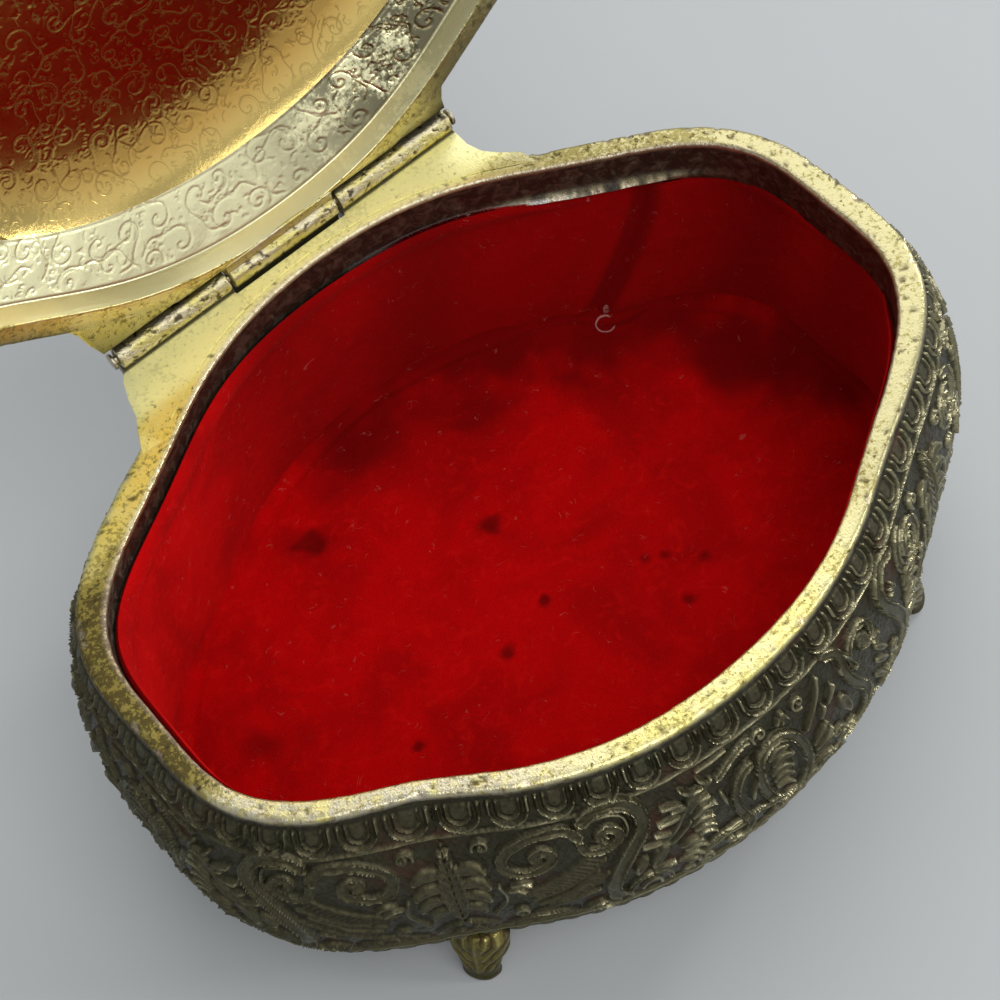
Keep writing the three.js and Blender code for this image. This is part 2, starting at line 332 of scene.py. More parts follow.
def turn_open(x, y, z):
    """Points of the shut lid, turned open about the hinge and set in the frame"""
    behind = y - hinge_behind_centre
    above = z - hinge_above_rim
    cos, sin = math.cos(open_angle), math.sin(open_angle)
    return np.stack([x, hinge_y + behind * cos + above * sin, hinge_z - behind * sin + above * cos], axis=-1)


def deselect():
    if bpy.context.object and bpy.context.object.mode != "OBJECT":
        bpy.ops.object.mode_set(mode="OBJECT")
    bpy.ops.object.select_all(action="DESELECT")


def take(obj):
    """Make one object the selected and active one"""
    deselect()
    obj.select_set(True)
    bpy.context.view_layer.objects.active = obj
    return obj


def points_of(obj):
    flat = np.empty(len(obj.data.vertices) * 3)
    obj.data.vertices.foreach_get("co", flat)
    return flat.reshape(-1, 3)


def move_points(obj, points):
    obj.data.vertices.foreach_set("co", np.ascontiguousarray(points, dtype=float).ravel())
    obj.data.update()


def mark(obj, name, values):
    """Keep one number for each point, for a material to read"""
    layer = obj.data.attributes.new(name, "FLOAT", "POINT")
    layer.data.foreach_set("value", np.ascontiguousarray(values, dtype=np.float32))


def marks_of(obj, name):
    values = np.empty(len(obj.data.vertices))
    obj.data.attributes[name].data.foreach_get("value", values)
    return values


def draped_grid(name, columns, rows, form):
    """A grid primitive whose points are laid on a form, which also gives marks for the materials"""
    deselect()
    bpy.ops.mesh.primitive_grid_add(x_subdivisions=columns, y_subdivisions=rows, size=1)
    obj = bpy.context.object
    obj.name = name
    flat = points_of(obj)
    points, marks = form(flat[:, 0] + 0.5, flat[:, 1] + 0.5)
    move_points(obj, points)
    for label, values in marks.items():
        mark(obj, label, values)
    return obj


def close_up(obj, fill=False):
    """Merge the edges that meet, fill what is left open, and turn the faces outwards"""
    take(obj)
    bpy.ops.object.mode_set(mode="EDIT")
    bpy.ops.mesh.select_all(action="SELECT")
    bpy.ops.mesh.remove_doubles(threshold=0.000002)
    if fill:
        bpy.ops.mesh.fill_holes(sides=0)
    bpy.ops.mesh.select_all(action="SELECT")
    bpy.ops.mesh.normals_make_consistent(inside=False)
    bpy.ops.object.mode_set(mode="OBJECT")
    return obj


def waver(obj, name, grain, strength):
    """Unevenness of a casting, by a cloud texture pushed along the surface"""
    texture = bpy.data.textures.new(name, "CLOUDS")
    texture.noise_scale = grain
    texture.noise_depth = 2
    take(obj)
    shift = obj.modifiers.new(name, "DISPLACE")
    shift.texture = texture
    shift.strength = strength
    bpy.ops.object.modifier_apply(modifier=name)


def bevel(obj, width, segments=2, angle=math.radians(35)):
    take(obj)
    edge = obj.modifiers.new("edge", "BEVEL")
    edge.width = width
    edge.segments = segments
    edge.limit_method = "ANGLE"
    edge.angle_limit = angle
    bpy.ops.object.modifier_apply(modifier="edge")


def combine(obj, other, operation):
    """Join or cut with another solid, which is used up"""
    take(obj)
    cut = obj.modifiers.new("cut", "BOOLEAN")
    cut.operation = operation
    cut.object = other
    cut.solver = "EXACT"
    bpy.ops.object.modifier_apply(modifier="cut")
    bpy.data.objects.remove(other)


def smooth(obj, angle=math.radians(40)):
    take(obj)
    bpy.ops.object.shade_smooth_by_angle(angle=angle)


def cover(obj, material):
    """Give a piece one material all over"""
    obj.data.materials.clear()
    obj.data.materials.append(material)


def settle(obj, material, body, node):
    """Give a finished piece its material and its body, and hide the node that it stands for"""
    cover(obj, material)
    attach(obj, body)
    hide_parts(node)


def flowing(points, steps=9):
    """Points of a smooth curve through given points"""
    ends = [points[0], *points, points[-1]]
    curve = []
    for before, start, end, after in zip(ends, ends[1:], ends[2:], ends[3:]):
        before, start, end, after = (np.array(point, float) for point in (before, start, end, after))
        for step in range(steps):
            t = step / steps
            curve.append(0.5 * (2 * start + (end - before) * t
                                + (2 * before - 5 * start + 4 * end - after) * t * t
                                + (3 * start - before - 3 * end + after) * t ** 3))
    curve.append(np.array(points[-1], float))
    return np.array(curve)


def heading(angle):
    """A step of length 1 at an angle"""
    return np.array([math.cos(angle), math.sin(angle)])


def left_of(run):
    """A step turned a quarter to its left"""
    return np.array([-run[1], run[0]])


def scroll(eye, radius, turns, start, way=1):
    """Points of a scroll that winds in from its radius nearly to its eye"""
    tightness = 0.85
    share = np.linspace(0, 1, max(12, int(26 * turns)))
    angle = start + way * 2 * math.pi * turns * share
    reach = radius * (1 - tightness * share)
    return np.stack([eye[0] + reach * np.cos(angle), eye[1] + reach * np.sin(angle)], axis=-1)


def eased(value):
    """Smooth step from 0 to 1"""
    value = np.clip(value, 0, 1)
    return value * value * (3 - 2 * value)


class Field:
    """A flat field of ornament: heights on a fine grid, in millimetres"""

    def __init__(self, wide, high, pitch=0.1, low=(0.0, 0.0)):
        self.low = low
        self.pitch = pitch
        self.heights = np.zeros((int(high / pitch) + 2, int(wide / pitch) + 2))

    def window(self, points, reach):
        """The part of the field round some points, and the places in it"""
        rows, columns = self.heights.shape
        first = np.floor((points.min(0) - reach - self.low) / self.pitch).astype(int)
        last = np.ceil((points.max(0) + reach - self.low) / self.pitch).astype(int) + 1
        across = slice(max(first[0], 0), min(max(last[0], 0), columns))
        down = slice(max(first[1], 0), min(max(last[1], 0), rows))
        x = self.low[0] + np.arange(across.start, max(across.stop, across.start)) * self.pitch
        y = self.low[1] + np.arange(down.start, max(down.stop, down.start)) * self.pitch
        return (down, across), *np.meshgrid(x, y)

    def stroke(self, points, reach):
        """Distance from a line, and the share along it, for each place near it"""
        points = np.asarray(points, float)
        part, x, y = self.window(points, reach)
        nearest = np.full(x.shape, 1e9)
        along = np.zeros(x.shape)
        steps = len(points) - 1
        for index in range(steps):
            start = points[index]
            run = points[index + 1] - start
            length = max(run @ run, 1e-12)
            share = np.clip(((x - start[0]) * run[0] + (y - start[1]) * run[1]) / length, 0, 1)
            distance = np.hypot(x - start[0] - share * run[0], y - start[1] - share * run[1])
            closer = distance < nearest
            nearest[closer] = distance[closer]
            along[closer] = ((index + share) / steps)[closer]
        return part, nearest, along

    def places(self):
        rows, columns = self.heights.shape
        return np.meshgrid(self.low[0] + np.arange(columns) * self.pitch,
                           self.low[1] + np.arange(rows) * self.pitch)

    def crests(self):
        """A field of how far each place stands above its neighbourhood, where rubbing makes it bright"""
        reach = 0.55
        gain = 3.2
        cells = int(reach / self.pitch)
        soft = self.heights
        for axis in (0, 1):
            soft = sum(np.roll(soft, step, axis) for step in range(-cells, cells + 1)) / (2 * cells + 1)
        rubbed = Field(0, 0, self.pitch, self.low)
        rubbed.heights = np.clip((self.heights - soft) * gain, 0, 1)
        return rubbed

    def raise_to(self, part, heights):
        self.heights[part] = np.maximum(self.heights[part], heights)

    def band(self, points, width, height, hollow=0.0):
        """A raised band; a hollow one has a line along each edge and a trough between them"""
        part, distance, _ = self.stroke(points, width)
        across = distance / (width / 2)
        crown = np.sqrt(np.clip(1 - across ** 2, 0, 1))
        edges = np.exp(-((across - 0.78) / np.clip(0.22 / width, 0.12, 0.3)) ** 2)
        profile = (1 - hollow) * crown + hollow * (0.25 * eased((1 - across) / 0.35) + 0.75 * edges)
        self.raise_to(part, np.where(across < 1.15, height * profile, 0))

    def line(self, points, width, height):
        """A thin line, raised or engraved alike"""
        part, distance, _ = self.stroke(points, width)
        self.raise_to(part, height * np.exp(-(distance / (width / 2)) ** 2))

    def lobe(self, root, tip, width, height, bow=0.0):
        """A finger of a leaf, fuller near its tip, with a crisp edge; bow is a share of its length"""
        root, tip = np.array(root, float), np.array(tip, float)
        middle = (root + tip) / 2 + bow * left_of(tip - root)
        part, distance, along = self.stroke(flowing((root, middle, tip), 4) if bow else [root, tip], width)
        half = width / 2 * (0.45 + 0.55 * np.sin(math.pi * np.clip(along * 0.9 + 0.15, 0, 1)))
        spoon = 1 - 0.35 * np.exp(-(distance / (0.4 * half)) ** 2) * (width > 1.05)
        body = np.sqrt(np.clip(1 - (distance / half) ** 2, 0, 1)) * spoon
        self.raise_to(part, height * (0.6 + 0.4 * along) * body)

    def bead(self, centre, radius, height):
        centre = np.array([centre], float)
        part, x, y = self.window(centre, radius)
        distance = np.hypot(x - centre[0, 0], y - centre[0, 1])
        self.raise_to(part, height * np.sqrt(np.clip(1 - (distance / radius) ** 2, 0, 1)))

    def at(self, x, y):
        """Heights at places, smooth between the grid's points"""
        column = np.clip((x - self.low[0]) / self.pitch, 0, self.heights.shape[1] - 1.001)
        row = np.clip((y - self.low[1]) / self.pitch, 0, self.heights.shape[0] - 1.001)
        left, top = column.astype(int), row.astype(int)
        right_share, low_share = column - left, row - top
        at = self.heights
        upper = at[top, left] * (1 - right_share) + at[top, left + 1] * right_share
        lower = at[top + 1, left] * (1 - right_share) + at[top + 1, left + 1] * right_share
        return upper * (1 - low_share) + lower * low_share


# Ornament of one panel of the bowl, in millimetres across from its left waist and down from the rim.
# Bands: width, height share, hollowness, and the points that they flow through.
panel_width = 79.0
panel_bands = (
    (1.5, 0.60, 0.92, ((14.5, 8.1), (13.1, 6.5), (9.4, 6.6), (6.6, 8.1), (5.7, 10.0), (6.6, 11.9),
                       (8.5, 12.5), (10.6, 11.6), (11.3, 10.3), (10.4, 9.1), (9.3, 9.6), (9.6, 10.4))),
    (1.3, 0.62, 0.9, ((14.6, 9.4), (15.2, 10.9), (16.8, 11.4), (18.6, 10.6), (19.1, 9.2), (17.9, 8.1),
                      (16.8, 8.8), (17.4, 9.8))),
    (2.0, 0.9, 0.9, ((15.4, 5.6), (16.6, 4.8), (18.4, 4.5), (20.6, 5.3), (21.9, 7.4), (21.6, 10.0),
                     (20.0, 12.8), (18.3, 16.3), (17.3, 20.0), (17.2, 23.4), (18.4, 26.4), (17.6, 28.6),
                     (15.2, 28.8), (14.2, 27.0), (15.4, 25.8))),
    (0.5, 0.45, 0.0, ((14.8, 6.8), (17.2, 6.0), (19.6, 6.6), (20.2, 8.6), (19.8, 10.2))),
    (0.7, 0.5, 0.0, ((21.3, 14.1), (23.5, 14.5), (25.4, 13.0), (27.0, 10.6), (30.7, 8.1))),
    (0.5, 0.4, 0.0, ((22.6, 16.0), (25.0, 15.6), (27.2, 13.4))),
    (1.0, 0.6, 0.9, ((31.5, 8.6), (33.2, 7.5), (34.7, 6.7), (36.3, 6.4))),
    (1.3, 0.8, 0.9, ((35.4, 9.8), (34.0, 10.8), (33.1, 12.8), (32.9, 15.6), (33.6, 18.8), (34.6, 22.0),
                     (34.0, 24.6), (32.2, 25.0), (31.6, 23.6))),
    (1.4, 0.85, 0.9, ((37.6, 20.2), (36.6, 16.4), (36.5, 12.7), (37.2, 10.2), (39.8, 9.3), (42.0, 11.6),
                      (43.1, 16.0), (43.2, 20.8), (41.8, 23.6), (39.4, 23.0), (38.2, 21.2))),
    (0.9, 0.6, 0.8, ((27.6, 22.6), (29.4, 20.9), (32.0, 20.2), (35.6, 20.8), (38.6, 23.4), (42.4, 26.0))),
    (0.5, 0.45, 0.0, ((26.4, 24.6), (28.8, 22.8), (31.6, 21.8), (34.6, 22.4))),
    (0.8, 0.6, 0.8, ((18.7, 24.8), (20.0, 21.8), (21.9, 21.2), (23.6, 23.6), (24.0, 26.4))),
    (0.6, 0.5, 0.0, ((20.4, 26.2), (21.4, 23.8), (22.4, 24.2), (22.8, 26.6))),
    (1.5, 0.8, 0.9, ((49.2, 4.9), (51.0, 6.6), (51.1, 10.2), (52.3, 14.0), (54.2, 17.8), (54.2, 21.8),
                     (52.0, 24.4), (49.6, 23.8), (49.4, 21.6), (51.0, 21.0))),
    (1.0, 0.75, 0.85, tuple(map(tuple, scroll((55.2, 9.0), 3.2, 1.15, 2.4)))),
    (1.4, 0.62, 0.92, tuple(map(tuple, scroll((69.6, 9.8), 3.9, 1.7, 4.4, -1)))),
    (2.0, 0.9, 0.9, ((64.6, 5.0), (62.4, 4.8), (60.4, 6.8), (60.6, 10.2), (62.4, 14.0), (63.8, 18.4),
                     (63.4, 22.8), (60.8, 25.6), (58.4, 24.4), (58.8, 22.2))),
    (1.1, 0.6, 0.85, ((46.0, 28.0), (48.4, 26.4), (52.0, 26.6), (56.0, 28.2), (60.0, 28.0))),
    (1.1, 0.6, 0.85, ((5.0, 27.6), (7.6, 25.6), (10.4, 25.8), (12.4, 27.8))),
    (1.1, 0.6, 0.85, ((66.0, 27.8), (68.4, 25.6), (71.4, 25.6), (74.0, 27.6))),
    (0.7, 0.5, 0.0, ((43.8, 12.4), (45.8, 9.6), (47.2, 6.6))),
    (0.5, 0.45, 0.0, ((3.6, 21.6), (5.4, 17.6), (4.9, 14.4))),
    (0.5, 0.45, 0.0, ((8.0, 24.0), (12.0, 21.6), (15.6, 20.6))),
    (0.5, 0.45, 0.0, ((75.6, 22.6), (73.8, 18.0), (74.4, 14.6))),
    (0.5, 0.4, 0.0, ((29.4, 6.0), (31.8, 5.8), (33.4, 5.6))),
    (0.5, 0.45, 0.0, ((46.2, 24.6), (47.6, 26.0), (46.8, 27.6))),
)
# Leaf fingers: root, tip, width, height share
panel_lobes = (
    ((21.2, 16.8), (20.0, 18.4), 1.7, 1.0), ((23.6, 16.0), (22.0, 18.4), 2.0, 1.0),
    ((26.6, 9.4), (24.2, 8.3), 0.9, 0.8), ((28.2, 8.9), (26.8, 7.0), 0.9, 0.8),
    ((30.0, 8.3), (29.2, 6.9), 0.9, 0.8), ((26.0, 11.4), (23.4, 10.8), 0.9, 0.8),
    ((24.6, 13.6), (22.8, 12.6), 0.9, 0.7), ((27.4, 10.4), (25.2, 9.6), 0.8, 0.7),
    ((44.6, 17.0), (46.6, 14.4), 1.1, 0.8), ((44.8, 20.0), (47.2, 18.2), 1.2, 0.85),
    ((44.6, 23.0), (47.2, 22.2), 1.1, 0.85), ((44.8, 18.6), (47.2, 16.4), 1.0, 0.8),
    ((49.6, 13.4), (50.4, 16.6), 1.9, 1.0), ((47.6, 11.6), (48.8, 9.6), 1.0, 0.8),
    ((46.2, 13.2), (46.8, 11.4), 1.0, 0.7), ((57.0, 13.4), (58.6, 15.4), 1.1, 0.85),
    ((56.8, 16.2), (58.8, 18.2), 1.1, 0.85), ((56.4, 19.2), (58.2, 21.4), 1.1, 0.85),
    ((54.9, 8.4), (55.6, 9.8), 2.4, 1.0), ((9.6, 10.4), (9.7, 10.5), 1.3, 0.7),
    ((17.0, 9.6), (17.1, 9.7), 1.0, 0.7), ((52.6, 9.6), (51.8, 7.8), 1.0, 0.8),
    ((22.2, 20.4), (24.4, 20.6), 1.2, 0.9), ((25.2, 21.6), (27.0, 23.0), 1.1, 0.8),
    ((35.8, 14.2), (35.0, 16.6), 0.9, 0.7), ((31.4, 11.4), (31.8, 14.0), 0.8, 0.6),
)
# Stacks of leaf fingers: first root, step down, reach, count, width
panel_stacks = (
    ((27.4, 9.9), 1.45, (3.1, -0.7), 6, 0.85), ((38.4, 12.0), 1.7, (2.8, 0.4), 5, 1.3),
    ((1.2, 10.4), 2.5, (2.7, 1.2), 4, 1.9), ((-3.2, 10.4), 2.5, (-2.7, 1.2), 4, 1.9),
    ((77.8, 10.4), 2.5, (-2.7, 1.2), 4, 1.9), ((82.2, 10.4), 2.5, (2.7, 1.2), 4, 1.9),
    ((65.4, 12.6), 1.6, (3.2, 0.6), 5, 1.0), ((25.8, 17.6), 1.5, (2.6, 0.9), 4, 0.9),
    ((47.8, 27.4), 1.3, (3.0, 1.0), 2, 0.9), ((6.0, 14.6), 1.1, (2.4, 0.5), 2, 0.6),
)
# Chased ribbons: from, to, width
panel_ribbons = (
    ((7.4, 18.4), (16.2, 12.6), 2.6), ((9.2, 21.8), (16.4, 16.2), 1.6), ((66.2, 21.4), (74.6, 17.6), 2.6),
)

# Parts of the wall: name, panel, shares of the panel, and columns and rows of its mesh
wall_parts = (
    ("front_left_wall", 0, (0.0, 0.5), (290, 264)), ("front_right_wall", 0, (0.5, 1.0), (290, 264)),
    ("right_front_wall", 1, (0.0, 0.5), (290, 264)), ("right_back_wall", 1, (0.5, 1.0), (210, 160)),
    ("back_wall", 2, (0.0, 1.0), (330, 165)), ("left_wall", 3, (0.0, 1.0), (390, 190)),
)


def palmette(field, centre, top, bottom, height):
    """An upright leaf with veins that rise from its spine"""
    points = np.array([(centre, top), (centre, bottom)], float)
    part, x, y = field.window(points, 3.2)
    share = np.clip((y - top) / (bottom - top), 0, 1)
    half = 2.5 * np.sin(math.pi * np.clip(0.10 + 0.8 * share, 0, 1)) ** 0.6
    across = np.abs(x - centre) / half
    veins = 0.34 * np.sin(2 * math.pi * (y + 2.2 * np.abs(x - centre)) / 1.5)
    rising = 0.45 * np.sqrt(np.clip(1 - across ** 2, 0, 1)) + 0.3 * np.exp(-((across - 0.86) / 0.12) ** 2)
    body = rising * (1 + veins) + 0.35 * np.exp(-(across / 0.12) ** 2)
    inside = (across < 1) & (y > top) & (y < bottom)
    field.raise_to(part, np.where(inside, height * body, 0))
    for lean in (-1.0, -0.5, 0.0, 0.5, 1.0):
        root = np.array((centre, top + 1.2))
        reach = 2.3 - 0.5 * abs(lean)
        field.lobe(root, root + reach * np.array((math.sin(lean), -math.cos(lean))), 0.8, 0.8 * height)


def chased_ribbon(field, start, end, width, height):
    """A ribbon of fine cross cuts between two lines"""
    start, end = np.array(start, float), np.array(end, float)
    along = (end - start) / np.linalg.norm(end - start)
    across = left_of(along) * width / 2
    bow = np.array([0.0, 0.9])
    for side in (-1, 1):
        middle = (start + end) / 2 + side * across + bow
        field.line(flowing((start + side * across, middle, end + side * across)), 0.45, height * 0.5)
    count = int(np.linalg.norm(end - start) / 0.62)
    for index in range(1, count):
        share = index / count
        centre = start + (end - start) * share + bow * 4 * share * (1 - share)
        lean = along * 0.35
        field.line((centre - across * 0.8 - lean, centre + across * 0.8 + lean), 0.34, height * 0.34)


def fill_ground(field, low, high, pitch, seed, inside=lambda spot: True):
    """Small curls, leaves and beads wherever the ground of a field is still bare"""
    dice = np.random.default_rng(seed)
    for y in np.arange(low[1], high[1], pitch):
        for x in np.arange(low[0], high[0], pitch):
            spot = np.array([x, y]) + dice.uniform(-0.3, 0.3, 2) * pitch
            turn = dice.uniform(0, 2 * math.pi)
            way = 1 if dice.uniform() < 0.5 else -1
            part = field.window(spot[None], 0.36 * pitch)[0]
            if not inside(spot) or field.heights[part].max(initial=0) > 0.15:
                continue
            if dice.uniform() < 0.4:
                field.band(scroll(spot, 0.42 * pitch, 1.2, turn, way), 0.24 * pitch, 0.55)
                continue
            for lean in (-0.7, 0, 0.7):
                field.lobe(spot, spot + 0.55 * pitch * heading(turn + lean), 0.32 * pitch, 0.6)
            field.bead(spot, 0.2 * pitch, 0.5)


def gadroon_border(x, y, pitch):
    """Row of round tongues that hang from the rim, each with a line inside it"""
    tongue_centre = 2.1
    line_depth = 4.75
    across = np.abs((x / pitch) % 1 - 0.5) * pitch
    drop = y - tongue_centre
    reach = np.where(drop > 0, np.hypot(across, drop), across)
    outer = np.exp(-((reach - 0.40 * pitch) / 0.17) ** 2)
    inner = 0.7 * np.exp(-((reach - 0.235 * pitch) / 0.14) ** 2)
    tongue = 0.28 * eased((0.2 * pitch - reach) / 0.5)
    under = 0.42 * np.exp(-((y - line_depth) / 0.14) ** 2)
    faded = eased((y - 0.5) / 0.4) * eased((4.9 - y) / 0.2)
    return np.maximum((outer + inner + tongue) * 0.55 * faded, under)


def hem_border(x, y, pitch):
    """Flutes along the foot of the wall, under a plain line"""
    line_depth = 30.6
    top = 33.4
    foot = 38.2
    across = np.abs((x / pitch) % 1 - 0.5) * pitch
    reach = np.where(y < top, np.hypot(across, y - top), across)
    flute = np.sqrt(np.clip(1 - (reach / (0.44 * pitch)) ** 2, 0, 1))
    line = 0.6 * np.exp(-((y - line_depth) / 0.3) ** 2)
    return np.maximum(0.75 * flute * eased((foot - y) / 0.8), line)


def panel_field():
    """Ornament of one panel of the bowl"""
    field = Field(panel_width + 8, 41, 0.08, low=(-4.0, 0.0))
    for width, height, hollow, points in panel_bands:
        field.band(flowing(points, 8), width, height, hollow)
    for root, tip, width, height in panel_lobes:
        field.lobe(root, tip, width, height)
    for (x, y), drop, (reach_x, reach_y), count, width in panel_stacks:
        for index in range(count):
            middle = (count - 1) / 2
            lean = 0.17 * (index - middle) * math.copysign(1, reach_x)
            size = 1 - 0.10 * abs(index - middle) + 0.08 * math.sin(5.1 * index + x)
            root = (x + 0.25 * math.sin(2.3 * index + y), y + drop * index)
            tip = (root[0] + size * (reach_x * math.cos(lean) - reach_y * math.sin(lean)),
                   root[1] + size * (reach_x * math.sin(lean) + reach_y * math.cos(lean)))
            field.lobe(root, tip, width * (1.1 - 0.08 * index), 0.82, -0.22 * math.copysign(1, reach_x))
    for start, end, width in panel_ribbons:
        chased_ribbon(field, start, end, width, 0.8)
    curl = ((0.6, 23.0), (2.2, 24.4), (3.2, 27.0), (1.8, 28.6), (0.9, 27.2))
    for waist, outside in ((0.0, -1.0), (panel_width, 1.0)):
        palmette(field, waist + outside, 6.6, 21.5, 0.95)
        for side in (-1, 1):
            field.band(flowing([(waist + side * away, y) for away, y in curl]), 1.1, 0.6, 0.7)
    fill_ground(field, (1.0, 7.0), (panel_width - 0.6, 28.6), 2.5, 8)
    tongues = 15
    flutes = 24
    x, y = field.places()
    borders = np.maximum(gadroon_border(x, y, panel_width / tongues), hem_border(x, y, panel_width / flutes))
    field.heights = np.maximum(field.heights, borders)
    return field


def there_and_back(v, turn):
    """Share along a sheet's front up to a turn, then back behind it, closed where it began"""
    front = v <= turn + 0.0001
    along = np.where(front, v / turn, (1 - v) / (1 - turn))
    return np.minimum(along, 1), front, ~front & (v < 0.9999)


def ring_form(profile, lay):
    """A closed ring swept round the outline; profile gives width and height for a share round it"""
    def form(u, v):
        width, height, marks = profile(v, u)
        x, y = outline(2 * math.pi * u, width)
        return lay(x, y, height), marks
    return form


def follow(corners, share):
    """Places on a closed line through corners, by share of its length"""
    corners = np.array([*corners, corners[0]], float)
    length = lengths_along(*corners.T)
    place = share * length[-1]
    return np.interp(place, length, corners[:, 0]), np.interp(place, length, corners[:, 1])


def rounded(corner, before, after, steps=4):
    """Points of an arc that rounds a corner between two points on its sides"""
    corner, before, after = (np.array(point, float) for point in (corner, before, after))
    return [tuple((1 - t) ** 2 * before + 2 * t * (1 - t) * corner + t * t * after)
            for t in np.linspace(0, 1, steps)]


def cloud(x, y, grain, seed=0.0):
    """Smooth noise from about -1 to 1 at places on a flat field"""
    return np.array([noise.fractal(Vector((a / grain, b / grain, seed)), 1.0, 2.0, 3) for a, b in zip(x, y)])


def wall_width(depth):
    """Stand-out of the plain wall at a depth below the rim"""
    upper = bulge_width - (bulge_width - rim_width) * np.clip(1 - depth / bulge_depth, 0, 1) ** 2.2
    share = np.clip((depth - bulge_depth) / (hem_depth - bulge_depth), 0, 1)
    lower = bulge_width - (bulge_width - hem_width) * share ** 1.7
    return np.where(depth < bulge_depth, upper, lower)


def wall_profile(down):
    """Width, depth, slopes and length down the wall, for shares down it"""
    top_gap = 0.0007
    foot_gap = 0.0006
    depth = np.linspace(top_gap, body_depth - foot_gap, 800)
    width = wall_width(depth)
    below = depth > hem_depth
    rounding = np.clip((depth - hem_depth) / (body_depth - hem_depth), 0, 1)
    width = np.where(below, hem_width + hem_bead * np.sin(math.pi * rounding), width)
    length = lengths_along(depth, width)
    place = down * length[-1]
    slope_width = np.interp(place, length, np.gradient(width, length))
    slope_depth = np.interp(place, length, np.gradient(depth, length))
    size = np.hypot(slope_width, slope_depth)
    return (np.interp(place, length, width), np.interp(place, length, depth),
            slope_width / size, slope_depth / size, place)


def rough_ground(x, y):
    """Small hammered unevenness of the ground, from sums of waves"""
    waves = 0
    for step_x, step_y, turn in ((5.1, 3.3, 0.4), (-3.7, 5.9, 1.9), (7.3, -2.1, 4.1), (2.3, 7.9, 2.7),
                                 (9.7, 4.9, 5.3), (-8.9, 6.1, 0.9)):
        waves = waves + np.sin(step_x * x + step_y * y + turn + 1.3 * np.sin(0.9 * step_y * x))
    return waves / 6


def build_wall(name, field, crests, panel, span, fineness, material):
    """Part of one panel of the bowl's wall, closed behind the relief; span is its shares of the panel"""
    start, end = waist_angles[panel], waist_angles[panel + 1]
    mirrored = panel % 2 == 1
    outer_share = 0.97
    wall_thickness = 0.0016
    top_lap = 0.0003
    shift_depth = 0.016
    height = find_size("relief_height")
    sunk = find_size("relief_sunk")

    def form(u, v):
        share = span[0] + (span[1] - span[0]) * u
        angle, length = angles_by_length(start, end, bulge_width, share)
        down, outside, behind = there_and_back(v, outer_share)
        width, depth, slope_width, slope_depth, place = wall_profile(down)
        x = share * length / MM
        y = place / MM
        across = panel_width * (1 - share if mirrored else share)
        ornament = field.at(across, y)
        ground = 0.09 * rough_ground(x, y) * (1 - 0.8 * eased(ornament / 0.3))
        worn = 0.08 * rough_ground(0.23 * x + panel, 0.27 * y)
        fade = eased((y - 0.1) / 0.6)
        proud = ((ornament + ground + worn) * height - sunk) * fade - top_lap * (1 - fade)
        proud = np.where(behind, -wall_thickness, proud)
        width = width + rim_shift(angle)[1] * np.clip(1 - depth / shift_depth, 0, 1) ** 1.5
        flat_x, flat_y = outline(angle, width + proud * slope_depth)
        points = stand(flat_x, flat_y, -depth + proud * slope_width)
        return points, {"relief": np.where(outside, ornament, 0),
                        "crest": np.where(outside, crests.at(across, y), 0)}

    obj = draped_grid(name, *fineness, form)
    close_up(obj, fill=True)
    smooth(obj, relief_smoothing)
    settle(obj, material, "box", "body_shell")


def bowl_rim(material):
    """Rim and collar: one ring, with a worn inner edge, pits in its top and nicks in its outer edge"""
    worn_edge = 0.00045
    edge_round = 0.0006
    tuck = 0.0012
    leaf_side = 0.0305
    leaf_half_length = 0.029
    leaf_drop = 0.00025
    pit_depth = 0.00012
    nick_depth = 0.00028
    lip_reach = 0.0010
    corners = [
        (0.0, -collar_depth), (0.0, -worn_edge - 0.0002),
        *rounded((0.0, 0.0), (0.0, -worn_edge), (worn_edge, -0.00004)),
        *rounded((rim_width, 0.0), (rim_width - edge_round, 0.0), (rim_width + 0.0001, -edge_round)),
        (rim_width + 0.00025, -tuck), (rim_width - 0.0009, -tuck - 0.0004), (0.0015, -collar_depth),
    ]

    def profile(v, u):
        width, height = follow(corners, v)
        angle = 2 * math.pi * u
        x, y = outline(angle, width)
        slow = cloud(x, y, 0.006)
        fast = cloud(x, y, 0.0012, 3.0)
        top = eased((height + 0.0008) / 0.0008)
        outer = eased((width - 0.0018) / 0.001) * top
        pits = eased((fast - 0.42) / 0.22) * top * (width > worn_edge)
        nick = eased((cloud(x, y, 0.0021, 7.0) - 0.30) / 0.25) * outer
        beside_leaf = (y > leaf_side) & (np.abs(x) < leaf_half_length)
        under_leaf = beside_leaf & (width > 0.0016)
        nick = np.where(under_leaf, 0, nick)
        slow = np.where(beside_leaf, 0.3 * slow, slow)
        height = height - pits * pit_depth - nick * nick_depth + slow * 0.00004 * top - leaf_drop * under_leaf
        reach = worn_edge * (1.3 + 1.5 * eased((y - 0.029) / 0.004) * eased(0.5 + 1.6 * slow))
        inner = 1 - eased(width / reach)
        inside = np.where(width < 0.0002, np.exp(-((height + 0.0056) / 0.0006) ** 2), 0)
        # A bead low on the collar at the back right; its share of the worn mark is a painted highlight, not
        # wear
        highlight_lip = inside * np.exp(-((angle - 0.80) / 0.30) ** 4)
        width = width + slow * 0.00016 * outer - nick * 0.00025 + fast * 0.00006 * (1 - outer)
        inner_shift, outer_shift = rim_shift(angle)
        across = np.clip(width / rim_width, 0, 1)
        width = width + inner_shift * (1 - across) + outer_shift * across - lip_reach * highlight_lip
        worn = np.maximum(np.maximum(inner * top, nick), highlight_lip * eased(0.7 + 2 * fast))
        return width, height, {"pits": pits, "worn": worn, "collar": 1 - top}

    obj = draped_grid("bowl_rim", 640, 56, ring_form(profile, stand))
    close_up(obj)
    smooth(obj, math.radians(60))
    settle(obj, material, "box", "body_shell")


